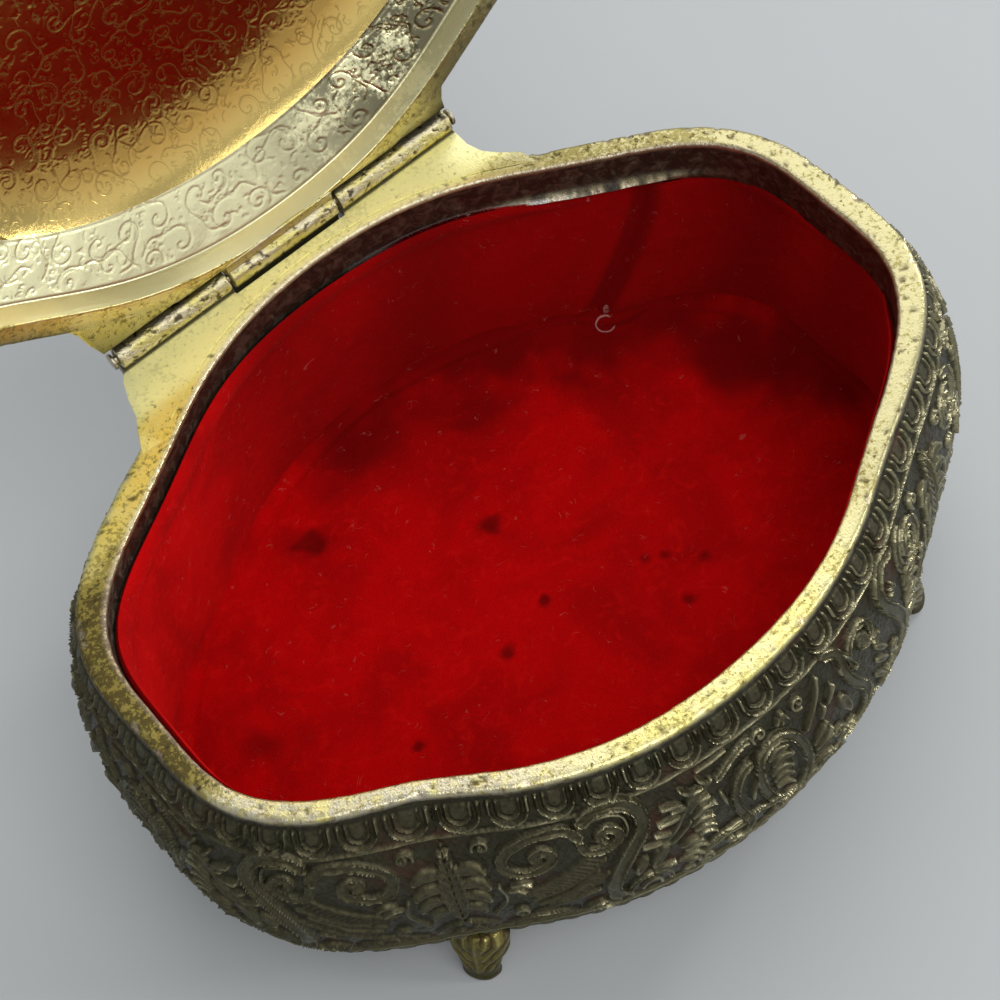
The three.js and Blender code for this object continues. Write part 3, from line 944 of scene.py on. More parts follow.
def bowl_underside(material):
    """Underside of the bowl, inside the ring of flutes"""
    hem_round = 0.0005
    dishing = 0.0004
    shares = (0, 0.35, 0.42, 0.58, 0.65, 1)
    widths = (underside_width, underside_width, hem_width, hem_width + 0.0001, underside_width,
              underside_width)
    heights = (-body_depth, -body_depth, -body_depth + hem_round, -hem_depth, -hem_depth, -hem_depth)

    def form(u, v):
        width, height = np.interp(v, shares, widths), np.interp(v, shares, heights)
        draw = np.interp(v, (0, 0.35, 0.65, 1), (0, 1, 1, 0))
        x, y = outline(2 * math.pi * u, width)
        dish = dishing * (1 - draw ** 2)
        return stand(x * draw, y * draw, height + dish), {"relief": 0 * u, "crest": 0 * u}

    obj = draped_grid("bowl_underside", 180, 80, form)
    close_up(obj)
    smooth(obj)
    waver(obj, "underside_waver", 0.004, 0.00008)
    settle(obj, material, "box", "body_shell")


def add_plate(name, corners, low, high):
    """A flat plate with a given outline, as a filled circle primitive moved to its corners and extruded"""
    deselect()
    bpy.ops.mesh.primitive_circle_add(vertices=len(corners), radius=1, fill_type="NGON")
    obj = bpy.context.object
    obj.name = name
    move_points(obj, [(x, y, high) for x, y in corners])
    bpy.ops.object.mode_set(mode="EDIT")
    bpy.ops.mesh.select_all(action="SELECT")
    bpy.ops.mesh.extrude_region_move(TRANSFORM_OT_translate={"value": (0, 0, low - high)})
    bpy.ops.mesh.select_all(action="SELECT")
    bpy.ops.mesh.normals_make_consistent(inside=False)
    bpy.ops.object.mode_set(mode="OBJECT")
    return obj


def add_bar(name, radius, low, high, sides=40):
    """A round bar on the hinge's line, measured from the mouth's centre"""
    deselect()
    bpy.ops.mesh.primitive_cylinder_add(
        vertices=sides, radius=radius, depth=high - low, rotation=(0, math.pi / 2, 0),
        location=((low + high) / 2, hinge_behind_centre, hinge_above_rim))
    obj = bpy.context.object
    obj.name = name
    bpy.ops.object.transform_apply(location=True, rotation=True, scale=True)
    return obj


def add_block(name, low, high):
    deselect()
    low, high = Vector(low), Vector(high)
    bpy.ops.mesh.primitive_cube_add(size=1, location=(low + high) / 2)
    obj = bpy.context.object
    obj.name = name
    obj.scale = high - low
    bpy.ops.object.transform_apply(location=True, rotation=True, scale=True)
    return obj


def leaf_corners(back):
    """Outline of a hinge leaf, flared where it runs into the rim"""
    right = ((0.0290, 0.0290), (0.0286, 0.0318), (0.0266, 0.0336), (0.0252, 0.0354), (0.0246, 0.0376),
             (hinge_high, 0.0402))
    left = ((hinge_low - 0.0002, 0.0404), (-0.0276, 0.0392), (-0.0286, 0.0366), (-0.0292, 0.0342),
            (-0.0304, 0.0320), (-0.0318, 0.0290))
    return [*right, (hinge_high, back), (hinge_low, back), *left]


def lay_whole(obj, lay):
    """Set a whole piece in the frame"""
    move_points(obj, lay(*points_of(obj).T))


def mouth_plate(width):
    """The mouth's outline as a thick plate, to cut with"""
    corners = [tuple(float(part) for part in outline(angle, width))
               for angle in np.linspace(0, 2 * math.pi, 360, endpoint=False)]
    return add_plate("mouth", corners, -0.01, 0.02)


def bowl_leaf(material):
    """Hinge leaf of the bowl, level with its rim, and slotted for the lid's heel"""
    leaf = add_plate("bowl_leaf", leaf_corners(hinge_behind_centre + 0.001), -leaf_thickness, 0.00003)
    slot_front = hinge_behind_centre - knuckle_radius - knuckle_clearance
    combine(leaf, add_block("slot", (slot_low, slot_front, -0.01), (slot_high, 0.06, 0.01)), "DIFFERENCE")
    bevel(leaf, 0.00018)
    combine(leaf, mouth_plate(0.0014), "DIFFERENCE")
    under = points_of(leaf)[:, 2] < -0.0005
    lay_whole(leaf, stand)
    for name, share in (("pits", 0.0), ("worn", 0.0), ("collar", 0.7)):
        mark(leaf, name, share * under)
    smooth(leaf)
    settle(leaf, material, "box", "body_shell")


def hinge_knuckle(name, low, high, seed):
    """A cast knuckle: a round bar with filed flats, dents and rounded ends"""
    end_round = 0.0004
    flat_depth = 0.00004
    dent_depth = 0.00007

    def form(u, v):
        turn = 2 * math.pi * u
        end = np.minimum(v, 1 - v) * (high - low)
        rounding = np.sqrt(np.clip(1 - np.clip(1 - end / end_round, 0, 1) ** 2, 0, 1))
        closing = np.where(np.minimum(v, 1 - v) < 0.001, 0.55, 0.75 + 0.25 * rounding)
        x = low + (high - low) * v
        dents = cloud(x, turn * 0.0016, 0.0009, seed)
        flats = flat_depth * np.cos(6 * turn)
        radius = knuckle_radius * closing + flats - dent_depth * eased((dents - 0.15) / 0.3)
        y = hinge_behind_centre + radius * np.cos(turn)
        return (np.stack([x, y, hinge_above_rim + radius * np.sin(turn)], axis=-1),
                {"pits": eased((dents - 0.25) / 0.3)})

    obj = draped_grid(name, 72, 110, form)
    close_up(obj, fill=True)
    return obj


def bowl_knuckles(material):
    for name, low, high, seed in (("left_knuckle", hinge_low, slot_low, 21.0),
                                  ("right_knuckle", slot_high, hinge_high, 23.0)):
        knuckle = hinge_knuckle(name, low, high, seed)
        lay_whole(knuckle, stand)
        smooth(knuckle, math.radians(50))
        settle(knuckle, material, "box", "body_shell")


def finish_open(obj, material):
    """Open a finished piece of the lid"""
    lay_whole(obj, turn_open)
    smooth(obj, math.radians(50))
    settle(obj, material, "lid", "lid_shell")


def lid_leaf(material):
    """Hinge leaf of the lid, with a recess over each outer knuckle, and the heel that stops the lid"""
    leaf = add_plate("lid_leaf", leaf_corners(hinge_behind_centre), lid_seat + 0.00004, lid_rim_top)
    for start, end in ((-0.05, middle_low), (middle_high, 0.05)):
        recess = add_block("recess", (start, recess_front, -0.01), (end, 0.06, recess_top))
        combine(leaf, recess, "DIFFERENCE")
        combine(leaf, add_bar("room", knuckle_radius + knuckle_clearance, start, end), "DIFFERENCE")
    bevel(leaf, 0.00015)
    combine(leaf, mouth_plate(0.0030), "DIFFERENCE")
    heel = add_block("heel", (middle_low, hinge_behind_centre, hinge_above_rim - heel_thickness / 2),
                     (middle_high, hinge_behind_centre + heel_reach, hinge_above_rim + heel_thickness / 2))
    bevel(heel, 0.0002)
    combine(leaf, heel, "UNION")
    points = points_of(leaf)
    beside = (points[:, 0] < middle_low - 0.00002) | (points[:, 0] > middle_high + 0.00002)
    # The recesses behind the outer knuckles get the full pit mark, which paints them dark: painted shade
    mark(leaf, "pits", np.where(beside & (points[:, 1] > recess_front - 0.0001), 1.0, 0.0))
    mark(leaf, "worn", 0 * points[:, 0])
    mark(leaf, "collar", 0 * points[:, 0] + 0.25)
    finish_open(leaf, material)


def lid_knuckle(material):
    """Middle knuckle, which is the lid's, with the flat web that carries it"""
    finish_open(hinge_knuckle("middle_knuckle", middle_low, middle_high, 27.0), material)
    web = add_block("knuckle_web", (middle_low, recess_front, lid_seat - 0.0001),
                    (middle_high, hinge_behind_centre - 0.0006, lid_rim_top - 0.0003))
    bevel(web, 0.00025)
    mark(web, "pits", 0 * points_of(web)[:, 0])
    finish_open(web, material)


def lid_rim(material):
    """Rim of the lid: its mating face and rounded edge, set back where the outer knuckles turn"""
    corners = [
        (band_foot + 0.0006, 0.0014), (band_foot + 0.00002, lid_seat + 0.0003),
        (band_foot + 0.00004, lid_seat),
        *rounded((lid_rim_outer + lid_rim_round, lid_seat), (lid_rim_outer, lid_seat),
                 (lid_rim_outer + lid_rim_round, lid_seat + 0.0007)),
        *rounded((lid_rim_outer + lid_rim_round, lid_rim_top), (lid_rim_outer + lid_rim_round, 0.0018),
                 (lid_rim_outer, lid_rim_top)),
        (0.0030, lid_rim_top + 0.0006), (0.0026, lid_rim_top + 0.0003),
    ]
    knuckle_room = 0.0024

    def set_back(x, y, z):
        beside = ((x < middle_low) | (x > middle_high)) & (np.abs(x) < 0.03)
        return turn_open(x, np.where(beside, np.minimum(y, hinge_behind_centre - knuckle_room), y), z)

    def profile(v, u):
        width, height = follow(corners, v)
        x, y = outline(2 * math.pi * u, width)
        slow = cloud(x, y, 0.006, 11.0)
        nick = eased((cloud(x, y, 0.002, 17.0) - 0.3) / 0.25) * eased((width - 0.0042) / 0.0006)
        outer = eased((width - 0.0026) / 0.0006)
        face = outer * eased((0.0012 - height) / 0.0008)
        return (width + slow * 0.0001 * outer - nick * 0.0002, height + slow * 0.00004 * outer,
                {"pits": eased((cloud(x, y, 0.0011, 5.0) - 0.45) / 0.25) * (width > 0.0026), "worn": nick,
                 "collar": np.maximum(face * (0.15 + 0.35 * eased((width - 0.0034) / 0.0014)),
                                      0.55 * eased((width - 0.0046) / 0.0004))})

    obj = draped_grid("lid_rim", 480, 42, ring_form(profile, set_back))
    close_up(obj)
    smooth(obj, math.radians(60))
    settle(obj, material, "lid", "lid_shell")


def arabesque(field, low, high, pitch, seed, weight):
    """Engraved scrolls that fill a field: double curls, leaf ticks and dots, in rows that interlock"""
    dice = np.random.default_rng(seed)
    for row in range(int((high[1] - low[1]) / (pitch * 0.8)) + 1):
        for column in range(int((high[0] - low[0]) / pitch) + 1):
            eye = np.array([low[0] + (column + 0.5 * (row % 2)) * pitch, low[1] + row * pitch * 0.8])
            eye = eye + dice.uniform(-0.2, 0.2, 2) * pitch
            way = 1 if dice.uniform() < 0.5 else -1
            start = dice.uniform(0, 2 * math.pi)
            radius = pitch * dice.uniform(0.28, 0.46)
            turns = dice.uniform(0.75, 1.35)
            curl = scroll(eye, radius, turns, start, way)
            outward = curl[0] - eye
            tangent = -left_of(outward) * way
            tail = flowing((curl[0] + tangent * 2.1 + outward * 0.2, curl[0] + tangent * 1.3 + outward * 0.6,
                            curl[0] + tangent * 0.55 + outward * 0.2, curl[0]), 6)
            field.line(np.concatenate([tail, curl[1:]]), weight, 1.0)
            if dice.uniform() < 0.45:
                field.line(eye + (curl[:len(curl) // 2] - eye) * 0.8, weight * 0.8, 0.8)
            field.bead(eye, weight * 0.9, 0.9)
            first = dice.uniform(0, 2 * math.pi)
            for tick in range(dice.integers(2, 5)):
                angle = first - way * 0.45 * tick
                base = eye + radius * 1.15 * heading(angle)
                lean = heading(angle - way * 0.9)
                side = left_of(lean)
                size = pitch * dice.uniform(0.10, 0.2)
                leaf = (base, base + lean * size * 0.6 + side * size * 0.3, base + lean * size,
                        base + lean * size * 0.6 - side * size * 0.25)
                field.line(flowing(leaf, 3), weight * 0.8, 0.85)
            for dot in range(dice.integers(0, 5)):
                spot = eye + radius * 1.35 * heading(start + way * (0.9 + 0.34 * dot))
                field.bead(spot, weight * 0.7, 0.8)


def scratch(field, low, high, count, seed):
    """Short curved cuts of the engraver between the scrolls"""
    dice = np.random.default_rng(seed)
    for _ in range(count):
        spot = dice.uniform(low, high)
        run = heading(dice.uniform(0, 2 * math.pi)) * dice.uniform(0.5, 1.3)
        side = left_of(run) * dice.uniform(-0.5, 0.5)
        field.line(flowing((spot, spot + run * 0.5 + side, spot + run), 3), dice.uniform(0.16, 0.26), 0.8)


def disc_place(u, v):
    """Square to round: share out from the centre and angle, evenly spread"""
    a, b = 2 * u - 1, 2 * v - 1
    x = a * np.sqrt(1 - b * b / 2)
    y = b * np.sqrt(1 - a * a / 2)
    return np.clip(np.hypot(x, y), 0, 1), np.arctan2(y, x)


def dome_height(share):
    return shoulder_height + dome_rise * (1 - share ** 2)


def ceiling_height(share):
    """The inside of the dome is flatter in its middle than the outside"""
    return ceiling_edge + ceiling_rise * (1 - share ** 5.5)


def back_up(obj, lift, height):
    """Close a domed sheet behind: its edge is lifted, then drawn in ring by ring and filled"""
    take(obj)
    bpy.ops.object.mode_set(mode="EDIT")
    bpy.ops.mesh.select_mode(type="EDGE")
    bpy.ops.mesh.select_all(action="DESELECT")
    bpy.ops.mesh.select_non_manifold(extend=False, use_wire=False, use_multi_face=False,
                                     use_non_contiguous=False, use_verts=False)
    bpy.ops.mesh.extrude_edges_move(TRANSFORM_OT_translate={"value": (0, 0, lift)})
    last = 1.0
    for share in (0.93, 0.85, 0.74, 0.6, 0.42, 0.2, 0.04):
        rise = height(share) - height(last)
        bpy.ops.mesh.extrude_edges_move(TRANSFORM_OT_translate={"value": (0, 0, rise)})
        bpy.ops.transform.resize(value=(share / last, share / last, 1), center_override=(0, 0, 0))
        last = share
    bpy.ops.mesh.fill_holes(sides=0)
    bpy.ops.mesh.edge_face_add()
    bpy.ops.object.mode_set(mode="OBJECT")
    return close_up(obj)


def lid_dome_inside(material):
    """Domed ceiling of the lid, engraved with scrolls, in a left, a right and a front part"""
    field = Field(94, 66, 0.08, (-47.0, -33.0))
    arabesque(field, (-47, -31), (47, 31), 4.3, 5, 0.17)
    scratch(field, (-46, -30), (46, 30), 2400, 31)
    depth = find_size("engraving_depth") * 0.3
    behind_height = 0.0004
    back_share = 0.95

    def part(low, high):
        def form(u, v):
            along, front, behind = there_and_back(v, back_share)
            share, angle = disc_place(low[0] + (high[0] - low[0]) * u, low[1] + (high[1] - low[1]) * along)
            x, y = ceiling_length * np.cos(angle) * share, ceiling_width * np.sin(angle) * share
            # Near its edge the dome is marked for a painted reflection
            near_edge = eased((share - 0.82) / 0.18)
            lines = field.at(x / MM, y / MM) * (1 - 0.8 * eased((share - 0.93) / 0.05))
            sag = 0.00005 * rough_ground(x / MM * 0.04, y / MM * 0.05)
            height = ceiling_height(share) + lines * depth + sag + behind_height * behind
            return np.stack([x, y, height], axis=-1), {"engraved": lines * front, "band": near_edge}
        return form

    for name, low, high, fineness in (("ceiling_left", (0.0, 0.5), (0.5, 1.0), (310, 240)),
                                      ("ceiling_right", (0.5, 0.5), (1.0, 1.0), (310, 240)),
                                      ("ceiling_front", (0.0, 0.0), (1.0, 0.5), (240, 120))):
        obj = draped_grid(name, *fineness, part(low, high))
        finish_open(close_up(obj, fill=True), material)


def lid_shoulder_inside(material):
    """Smooth band and sloping shoulder inside the lid; the shoulder is engraved with scrolls"""
    line = np.array([(band_foot, lid_seat + 0.00005), (band_foot - 0.0002, lid_seat + 0.0005),
                     (band_top + 0.0001, band_top_height - 0.0003), (band_top, band_top_height),
                     (band_top - 0.0001, band_top_height + 0.0001),
                     (band_top - 0.0004, band_top_height + 0.00015)])
    length = lengths_along(*line.T) / MM
    band_end = length[-1]
    shoulder_length = 7.4
    mean_radius = 44
    slope = band_end + shoulder_length
    around = 2 * math.pi * mean_radius
    field = Field(around + 2, slope + 2, 0.08, (-1.0, -1.0))
    arabesque(field, (1.5, band_end + 1.3), (around - 1.5, slope - 0.8), 4.6, 9, 0.22)
    field.line(((0, slope - 0.35), (around, slope - 0.35)), 0.2, 0.7)
    scratch(field, (2, band_end + 1), (around - 2, slope - 1), 420, 4)
    depth = find_size("engraving_depth")
    behind_height = 0.0005
    back_share = 0.95

    def part(start, end):
        def form(u, v):
            up, front, behind = there_and_back(v, back_share)
            turn_share = start + (end - start) * u
            place = up * slope
            width = np.interp(place, length, line[:, 0])
            height = np.interp(place, length, line[:, 1])
            lines = np.where(front, field.at((turn_share % 1) * around, place), 0)
            lines = lines * eased((place - band_end) / 0.5)
            right = eased((0.235 - turn_share) / 0.07) * eased(turn_share / 0.06) * (turn_share < 0.5)
            # The right end of the shoulder is marked for a painted dark reflection
            stained = eased((0.27 - turn_share) / 0.09) * eased(turn_share / 0.06) * front
            bold = 0.6 + 1.5 * right
            angle = 2 * math.pi * turn_share
            inward = np.clip((place - band_end) / (slope - band_end), 0, 1)
            x, y = outline(angle, width)
            x = x + (ceiling_length * np.cos(angle) - x) * inward
            y = y + (ceiling_width * np.sin(angle) - y) * inward
            height = height + (ceiling_edge - height) * inward
            swell = 0.00007 * rough_ground(turn_share * 42, up * 0.9) * eased((place - band_end) / 1.0)
            rise = lines * depth * bold + swell * front + behind_height * behind
            return (np.stack([x, y, height + rise], axis=-1),
                    {"engraved": lines * (0.6 + 0.4 * right), "stained": stained,
                     "band": 1 - eased((place - band_end + 0.15) / 0.15)})
        return form

    for name, start, end, fineness in (("shoulder_back", 0.0, 0.5, (900, 80)),
                                       ("shoulder_front", 0.5, 1.0, (420, 60))):
        obj = draped_grid(name, *fineness, part(start, end))
        close_up(obj, fill=True)
        finish_open(obj, material)


def lid_shoulder_outside(material):
    """Outer slope of the lid, with gadroons that hang from the dome"""
    foot_width = 0.0040
    ornament_foot = 0.0037
    ornament_drop = 0.0049
    rim_lap = 0.0002
    slope = math.hypot(ornament_foot - (dome_inset + dome_lap), ornament_drop) / MM
    tongues = 52
    pitch = 5.3
    wall_thickness = 0.0006
    relief_rise = 0.0007
    sunk = 0.0002
    back_share = 0.92

    def form(u, v):
        down, front, behind = there_and_back(v, back_share)
        width = (dome_inset + dome_lap) + (foot_width - dome_inset - dome_lap) * down
        height = shoulder_height + lid_wall + (lid_rim_top + rim_lap - shoulder_height - lid_wall) * down
        relief = gadroon_border(u * tongues * pitch, down * slope + 0.6, pitch)
        leaf = 0.5 * np.sqrt(np.clip(np.sin(math.pi * (u * tongues % 1)), 0, 1)) * eased((down - 0.7) / 0.1)
        relief = np.maximum(relief, leaf * eased((1 - down) / 0.08))
        ground = 0.07 * rough_ground(u * tongues * pitch, down * slope)
        proud = np.where(behind, -wall_thickness, (relief + ground) * relief_rise - sunk)
        x, y = outline(2 * math.pi * u, width)
        return (np.stack([x, y, height + proud], axis=-1),
                {"relief": np.where(front, relief, 0), "crest": eased((relief - 0.4) / 0.3) * front})

    obj = draped_grid("lid_shoulder_outside", 780, 40, form)
    close_up(obj)
    finish_open(obj, material)


def dome_edge(shares):
    """Points of the dome's edge at shares of the way round it, in millimetres"""
    turns, _ = angles_by_length(0, 2 * math.pi, dome_inset, shares)
    return [np.stack(outline(turn, dome_inset)) / MM for turn in turns]


def lid_dome_outside(material):
    """Domed top of the lid, with scrolls and leaves round a rosette"""
    field = Field(92, 64, 0.12, (-46.0, -32.0))
    scrolls = 14
    beads = 110
    for index, edge in enumerate(dome_edge((np.arange(scrolls) + 0.5) / scrolls)):
        way = 1 if index % 2 else -1
        out = edge / np.linalg.norm(edge)
        beside = left_of(out) * way
        eye = edge * 0.70
        field.band(scroll(eye, 5.2, 1.6, math.atan2(beside[1], beside[0]), way), 1.9, 0.9, 0.85)
        field.band(flowing((eye + 5.2 * beside, eye + 5.0 * beside + 3.0 * out,
                            edge - 3.2 * out + 2.6 * beside, edge - 2.4 * out - 0.4 * beside)),
                   1.7, 0.85, 0.85)
        root = edge - 6.6 * out - 1.5 * beside
        for lean in (-1.1, -0.65, -0.2, 0.25, 0.7):
            ray = math.cos(lean) * out + math.sin(lean) * beside
            field.lobe(root, root + 5.0 * ray, 1.7, 0.9)
    for start, end, width, petals, offset in ((8.0, 11.6, 2.6, 16, 0.0), (2.2, 8.4, 4.6, 8, 0.5)):
        for index in range(petals):
            way = heading(2 * math.pi * (index + offset) / petals)
            field.lobe(way * start, way * end, width, 0.85)
            field.line((way * (start + 0.8), way * (end - 0.9)), 0.4, 1.0)
    ring = np.linspace(0, 2 * math.pi, 60)
    field.band(np.stack([13.6 * np.cos(ring), 12.6 * np.sin(ring)], axis=-1), 1.2, 0.7, 0.8)
    field.bead((0, 0), 2.6, 1.1)
    for index in range(10):
        field.bead(3.2 * heading(2 * math.pi * index / 10), 0.6, 0.9)
    for edge in dome_edge(np.arange(beads) / beads):
        field.bead(edge * (1 - 1.5 / np.linalg.norm(edge)), 1.2, 0.8)
    fill_ground(field, (-41, -28), (41, 28), 2.4, 3,
                inside=lambda spot: np.hypot(spot[0] / 42, spot[1] / 27) < 0.97 and np.hypot(*spot) > 13)
    crests = field.crests()
    relief_rise = 0.0008
    sunk = 0.0004

    def form(u, v):
        share, angle = disc_place(u, v)
        x, y = outline(angle, dome_inset + dome_lap)
        x, y = x * share, y * share
        relief = field.at(x / MM, y / MM) * eased((1 - share) / 0.02)
        ground = 0.07 * rough_ground(x / MM, y / MM) * (1 - eased(relief / 0.3))
        height = dome_height(share) + lid_wall + (relief + ground) * relief_rise - sunk
        return np.stack([x, y, height], axis=-1), {"relief": relief, "crest": crests.at(x / MM, y / MM)}

    obj = draped_grid("lid_dome_outside", 296, 208, form)
    back_up(obj, -0.0005, dome_height)
    finish_open(obj, material)


def foot_centres():
    """Where each foot's node stands, and the way that it leans out"""
    feet = []
    for node in ("front_left_foot", "front_right_foot", "back_left_foot", "back_right_foot"):
        low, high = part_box(node)
        side_x = 1 if low.x > 0 else -1
        side_y = 1 if low.y > mouth_y else -1
        angle = math.atan2(side_y * math.sin(foot_angle), side_x * math.cos(foot_angle))
        x, y = outline(angle, foot_reach)
        place = Vector((float(x), float(y), 0))
        feet.append((node, place + Vector((0, mouth_y, 0)), place.normalized(), high.z))
    return feet


def build_foot(node, place, lean, top, material):
    """A leaf foot: ribbed where it laps the hem, narrow at its ankle, and turned out at its pad"""
    splay = 0.0024
    rib_height = 0.00034
    sunk = 0.00012
    end_share = 0.03
    out_shares = ((0, 0), (0.1, 0.05), (0.3, 0.16), (0.5, 0.38), (0.7, 0.72), (0.88, 1), (1, 1))
    wide = ((0, 0.0052), (0.12, 0.0078), (0.4, 0.0074), (0.62, 0.0056),
            (0.84, 0.0047), (0.94, 0.0049), (1, 0.0040))
    deep = ((0, 0.0036), (0.12, 0.0050), (0.4, 0.0050), (0.62, 0.0041),
            (0.84, 0.0036), (0.94, 0.0037), (1, 0.0030))

    def form(u, v):
        down = np.clip((v - end_share) / 0.94, 0, 1)
        closing = np.clip(np.minimum(v, 1 - v) / end_share, 0, 1)
        turn = 2 * math.pi * u
        width = np.interp(down, *zip(*wide)) / 2 * closing
        depth = np.interp(down, *zip(*deep)) / 2 * closing
        across = width * np.cos(turn)
        front = np.sin(turn)
        veins = np.sin(2 * math.pi * (down * 4.2 + np.abs(np.cos(turn)) * 2.4))
        spine = np.exp(-(np.cos(turn) / 0.13) ** 2) * (front > 0)
        relief = np.clip(0.5 + 0.6 * veins, 0, 1) * eased((0.78 - down) / 0.1) * (1 - spine)
        relief = np.maximum(relief, spine * eased((0.8 - down) / 0.1)) * closing
        proud = rib_height * relief * closing - sunk
        along = splay * np.interp(down, *zip(*out_shares)) + (depth + proud) * front
        x = place.x + lean.x * along + lean.y * across
        y = place.y + lean.y * along - lean.x * across
        z = top * (1 - down)
        return np.stack([x, y, z], axis=-1), {"relief": relief, "crest": eased((relief - 0.5) / 0.4)}

    obj = draped_grid(node + "_leaf", 84, 84, form)
    close_up(obj)
    smooth(obj, relief_smoothing)
    waver(obj, node + "_waver", 0.0012, 0.00016)
    points = points_of(obj)
    points[:, 2] = np.clip(points[:, 2], 0, None)
    move_points(obj, points)
    settle(obj, material, "box", node)


def build_pin(material):
    """Hinge pin, with a peened head at each end"""
    low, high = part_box("hinge_pin")
    wire_radius = 0.0006
    head_radius = 0.0011
    head = 0.0005
    pin = add_bar("pin", wire_radius, low.x + head / 2, high.x - head / 2, 32)
    for start in (low.x, high.x - head):
        cap = add_bar("cap", head_radius, start, start + head, 32)
        bevel(cap, 0.00018, 3, math.radians(50))
        combine(pin, cap, "UNION")
    pin.name = "hinge_pin_wire"
    lay_whole(pin, stand)
    smooth(pin)
    settle(pin, material, "box", "hinge_pin")


def velvet_fold(angle, up):
    """Soft waves of the velvet wall, the laps of its one pleat down from the collar, and the tuck by it"""
    waves = (0.5 + 0.5 * np.sin(5 * angle + 0.8)) * (0.5 + 0.5 * np.sin(13 * angle + 2 + 2 * up))
    pleat_angle = np.radians(36 + 13 * (1 - up) ** 1.4)
    beside = angle - pleat_angle
    lapped = np.where(beside < 0, np.exp(-(beside / 0.13) ** 2), np.exp(-(beside / 0.022) ** 2))
    tucked = 0.8 * np.exp(-((beside - 0.022) / 0.03) ** 2)
    second = 0.35 * np.exp(-((beside - 0.16 - 0.1 * (1 - up)) / 0.05) ** 2)
    return waves * (0.35 + 0.65 * up) * 0.7, lapped + second, tucked


def velvet_top(angle):
    """Height of the velvet's upper edge: low under the hinge's right end, high on the far side"""
    return lining_top + 0.0026 - 0.0022 * np.cos(angle - 0.35) + 0.0003 * np.sin(7 * angle)


def build_velvet_wall(material):
    """Velvet that lines the wall, slack in places, pleated once, and pulled over the collar on the left"""
    slack = find_size("velvet_slack")
    thickness = 0.0008
    over_card = 0.0003
    lap_height = 0.0012
    tuck_depth = 0.0004
    over_collar_height = 0.0013

    def form(u, v):
        up, _, behind = there_and_back(v, 0.5)
        turn = 2 * math.pi * u
        angle = turn - 0.6 * np.sin(turn - 0.75)
        waves, lapped, tucked = velvet_fold(angle, up)
        top = velvet_top(angle)
        height = lining_bottom + (top - lining_bottom) * up
        over_collar = eased((height + 0.0095) / 0.003) * eased((top - lining_top - 0.0002) / 0.0008)
        off = slack * np.sin(math.pi * np.clip(up * 0.9 + 0.1, 0, 1)) * waves
        off = off + (lap_height * lapped - tuck_depth * tucked) * eased(up / 0.15)
        off = off + over_collar_height * over_collar
        rim_roll = 0.0003 * eased((up - 0.96) / 0.04)
        width = velvet_face + over_card - off + rim_roll + thickness * behind
        width = width + np.minimum(rim_shift(angle)[0], 0) * over_collar
        x, y = outline(angle, width)
        # Painted shade: the velvet wall is darker in its folds, in the tuck by the pleat and towards the back
        # and right
        shaded = 0.45 * eased((np.cos(angle - 0.75) + 0.25) / 0.9)
        return stand(x, y, height), {"crushed": 0.38 + 0.3 * waves + 0.7 * tucked + shaded}

    obj = draped_grid("velvet_lining", 440, 80, form)
    close_up(obj)
    smooth(obj, math.radians(80))
    settle(obj, material, "box", "velvet_wall")
    x, y = outline(np.linspace(0, 2 * math.pi, 800), velvet_face)
    around = float(np.hypot(np.diff(x), np.diff(y)).sum())


# Dents and crushed spots of the velvet floor: place from the mouth's centre in millimetres, and size
dents = (
    (-18.0, 24.9, 1.5), (0.6, 10.9, 1.5), (11.8, -6.9, 1.1), (14.1, -8.1, 0.8), (17.8, -11.6, 1.0),
    (12.1, -15.0, 1.1), (-9.5, -5.2, 1.2), (-26.0, -7.0, 0.8), (-1.3, -2.4, 0.7),
)
# A crease of the velvet floor, in the same millimetres
floor_crease = ((29.0, 29.2), (30.4, 26.6), (32.4, 24.2), (35.6, 22.6), (39.4, 22.6), (42.4, 24.6))

# The pad is swelled at ten times its size, which suits the simulation of cloth better
grown = 10.0


def pad_form(u, v):
    """The flat pad before it is swelled: its top turns up at the wall, and its back is flat"""
    turn_radius = 0.0036
    crown = 0.0005
    top = v <= 0.5
    share = 1 - (1 - np.clip(np.where(top, 2 * v, 2 * (1 - v)), 0, 1)) ** 1.6
    x, y = outline(2 * math.pi * u, velvet_face + 0.0005)
    into_turn = np.clip(turn_radius - (1 - share) * np.hypot(x, y), 0, turn_radius)
    rise = np.where(top, turn_radius - np.sqrt(turn_radius ** 2 - into_turn ** 2), 0)
    height = np.where(top, velvet_floor_top - crown * share ** 2 + rise, lining_bottom)
    return np.stack([x * share, y * share, height], axis=-1) * grown, {"rise": rise, "upper": 1.0 * top}


def swell(obj):
    """Cloth swelled over a little padding, which lifts it by no more than a given height"""
    most = 0.0006 * grown
    start = points_of(obj)
    cloth = obj.modifiers.new("cloth", "CLOTH")
    cloth.settings.quality = 4
    cloth.settings.use_pressure = True
    cloth.settings.uniform_pressure_force = 1.2
    cloth.settings.shrink_min = -0.012
    cloth.settings.tension_stiffness = 12
    cloth.settings.bending_stiffness = 0.3
    cloth.settings.effector_weights.gravity = 0
    for number in range(1, 13):
        bpy.context.scene.frame_set(number)
    bpy.ops.object.modifier_apply(modifier="cloth")
    bpy.context.scene.frame_set(1)
    moved = points_of(obj) - start
    reach = np.linalg.norm(moved, axis=1, keepdims=True)
    moved = moved * np.minimum(1, most / np.maximum(reach, 1e-9))
    moved[:, :2] = 0
    move_points(obj, start + moved)


def dent_marks(flat):
    """How deep each place of the floor lies in a dent"""
    marks = np.zeros(len(flat))
    for x, y, size in dents:
        ragged = 1 + 0.45 * cloud(flat[:, 0], flat[:, 1], 1.6, x)
        distance = np.hypot(flat[:, 0] - x, flat[:, 1] - y) * ragged
        marks = np.maximum(marks, np.exp(-(distance / (1.15 * size)) ** 2))
    return marks


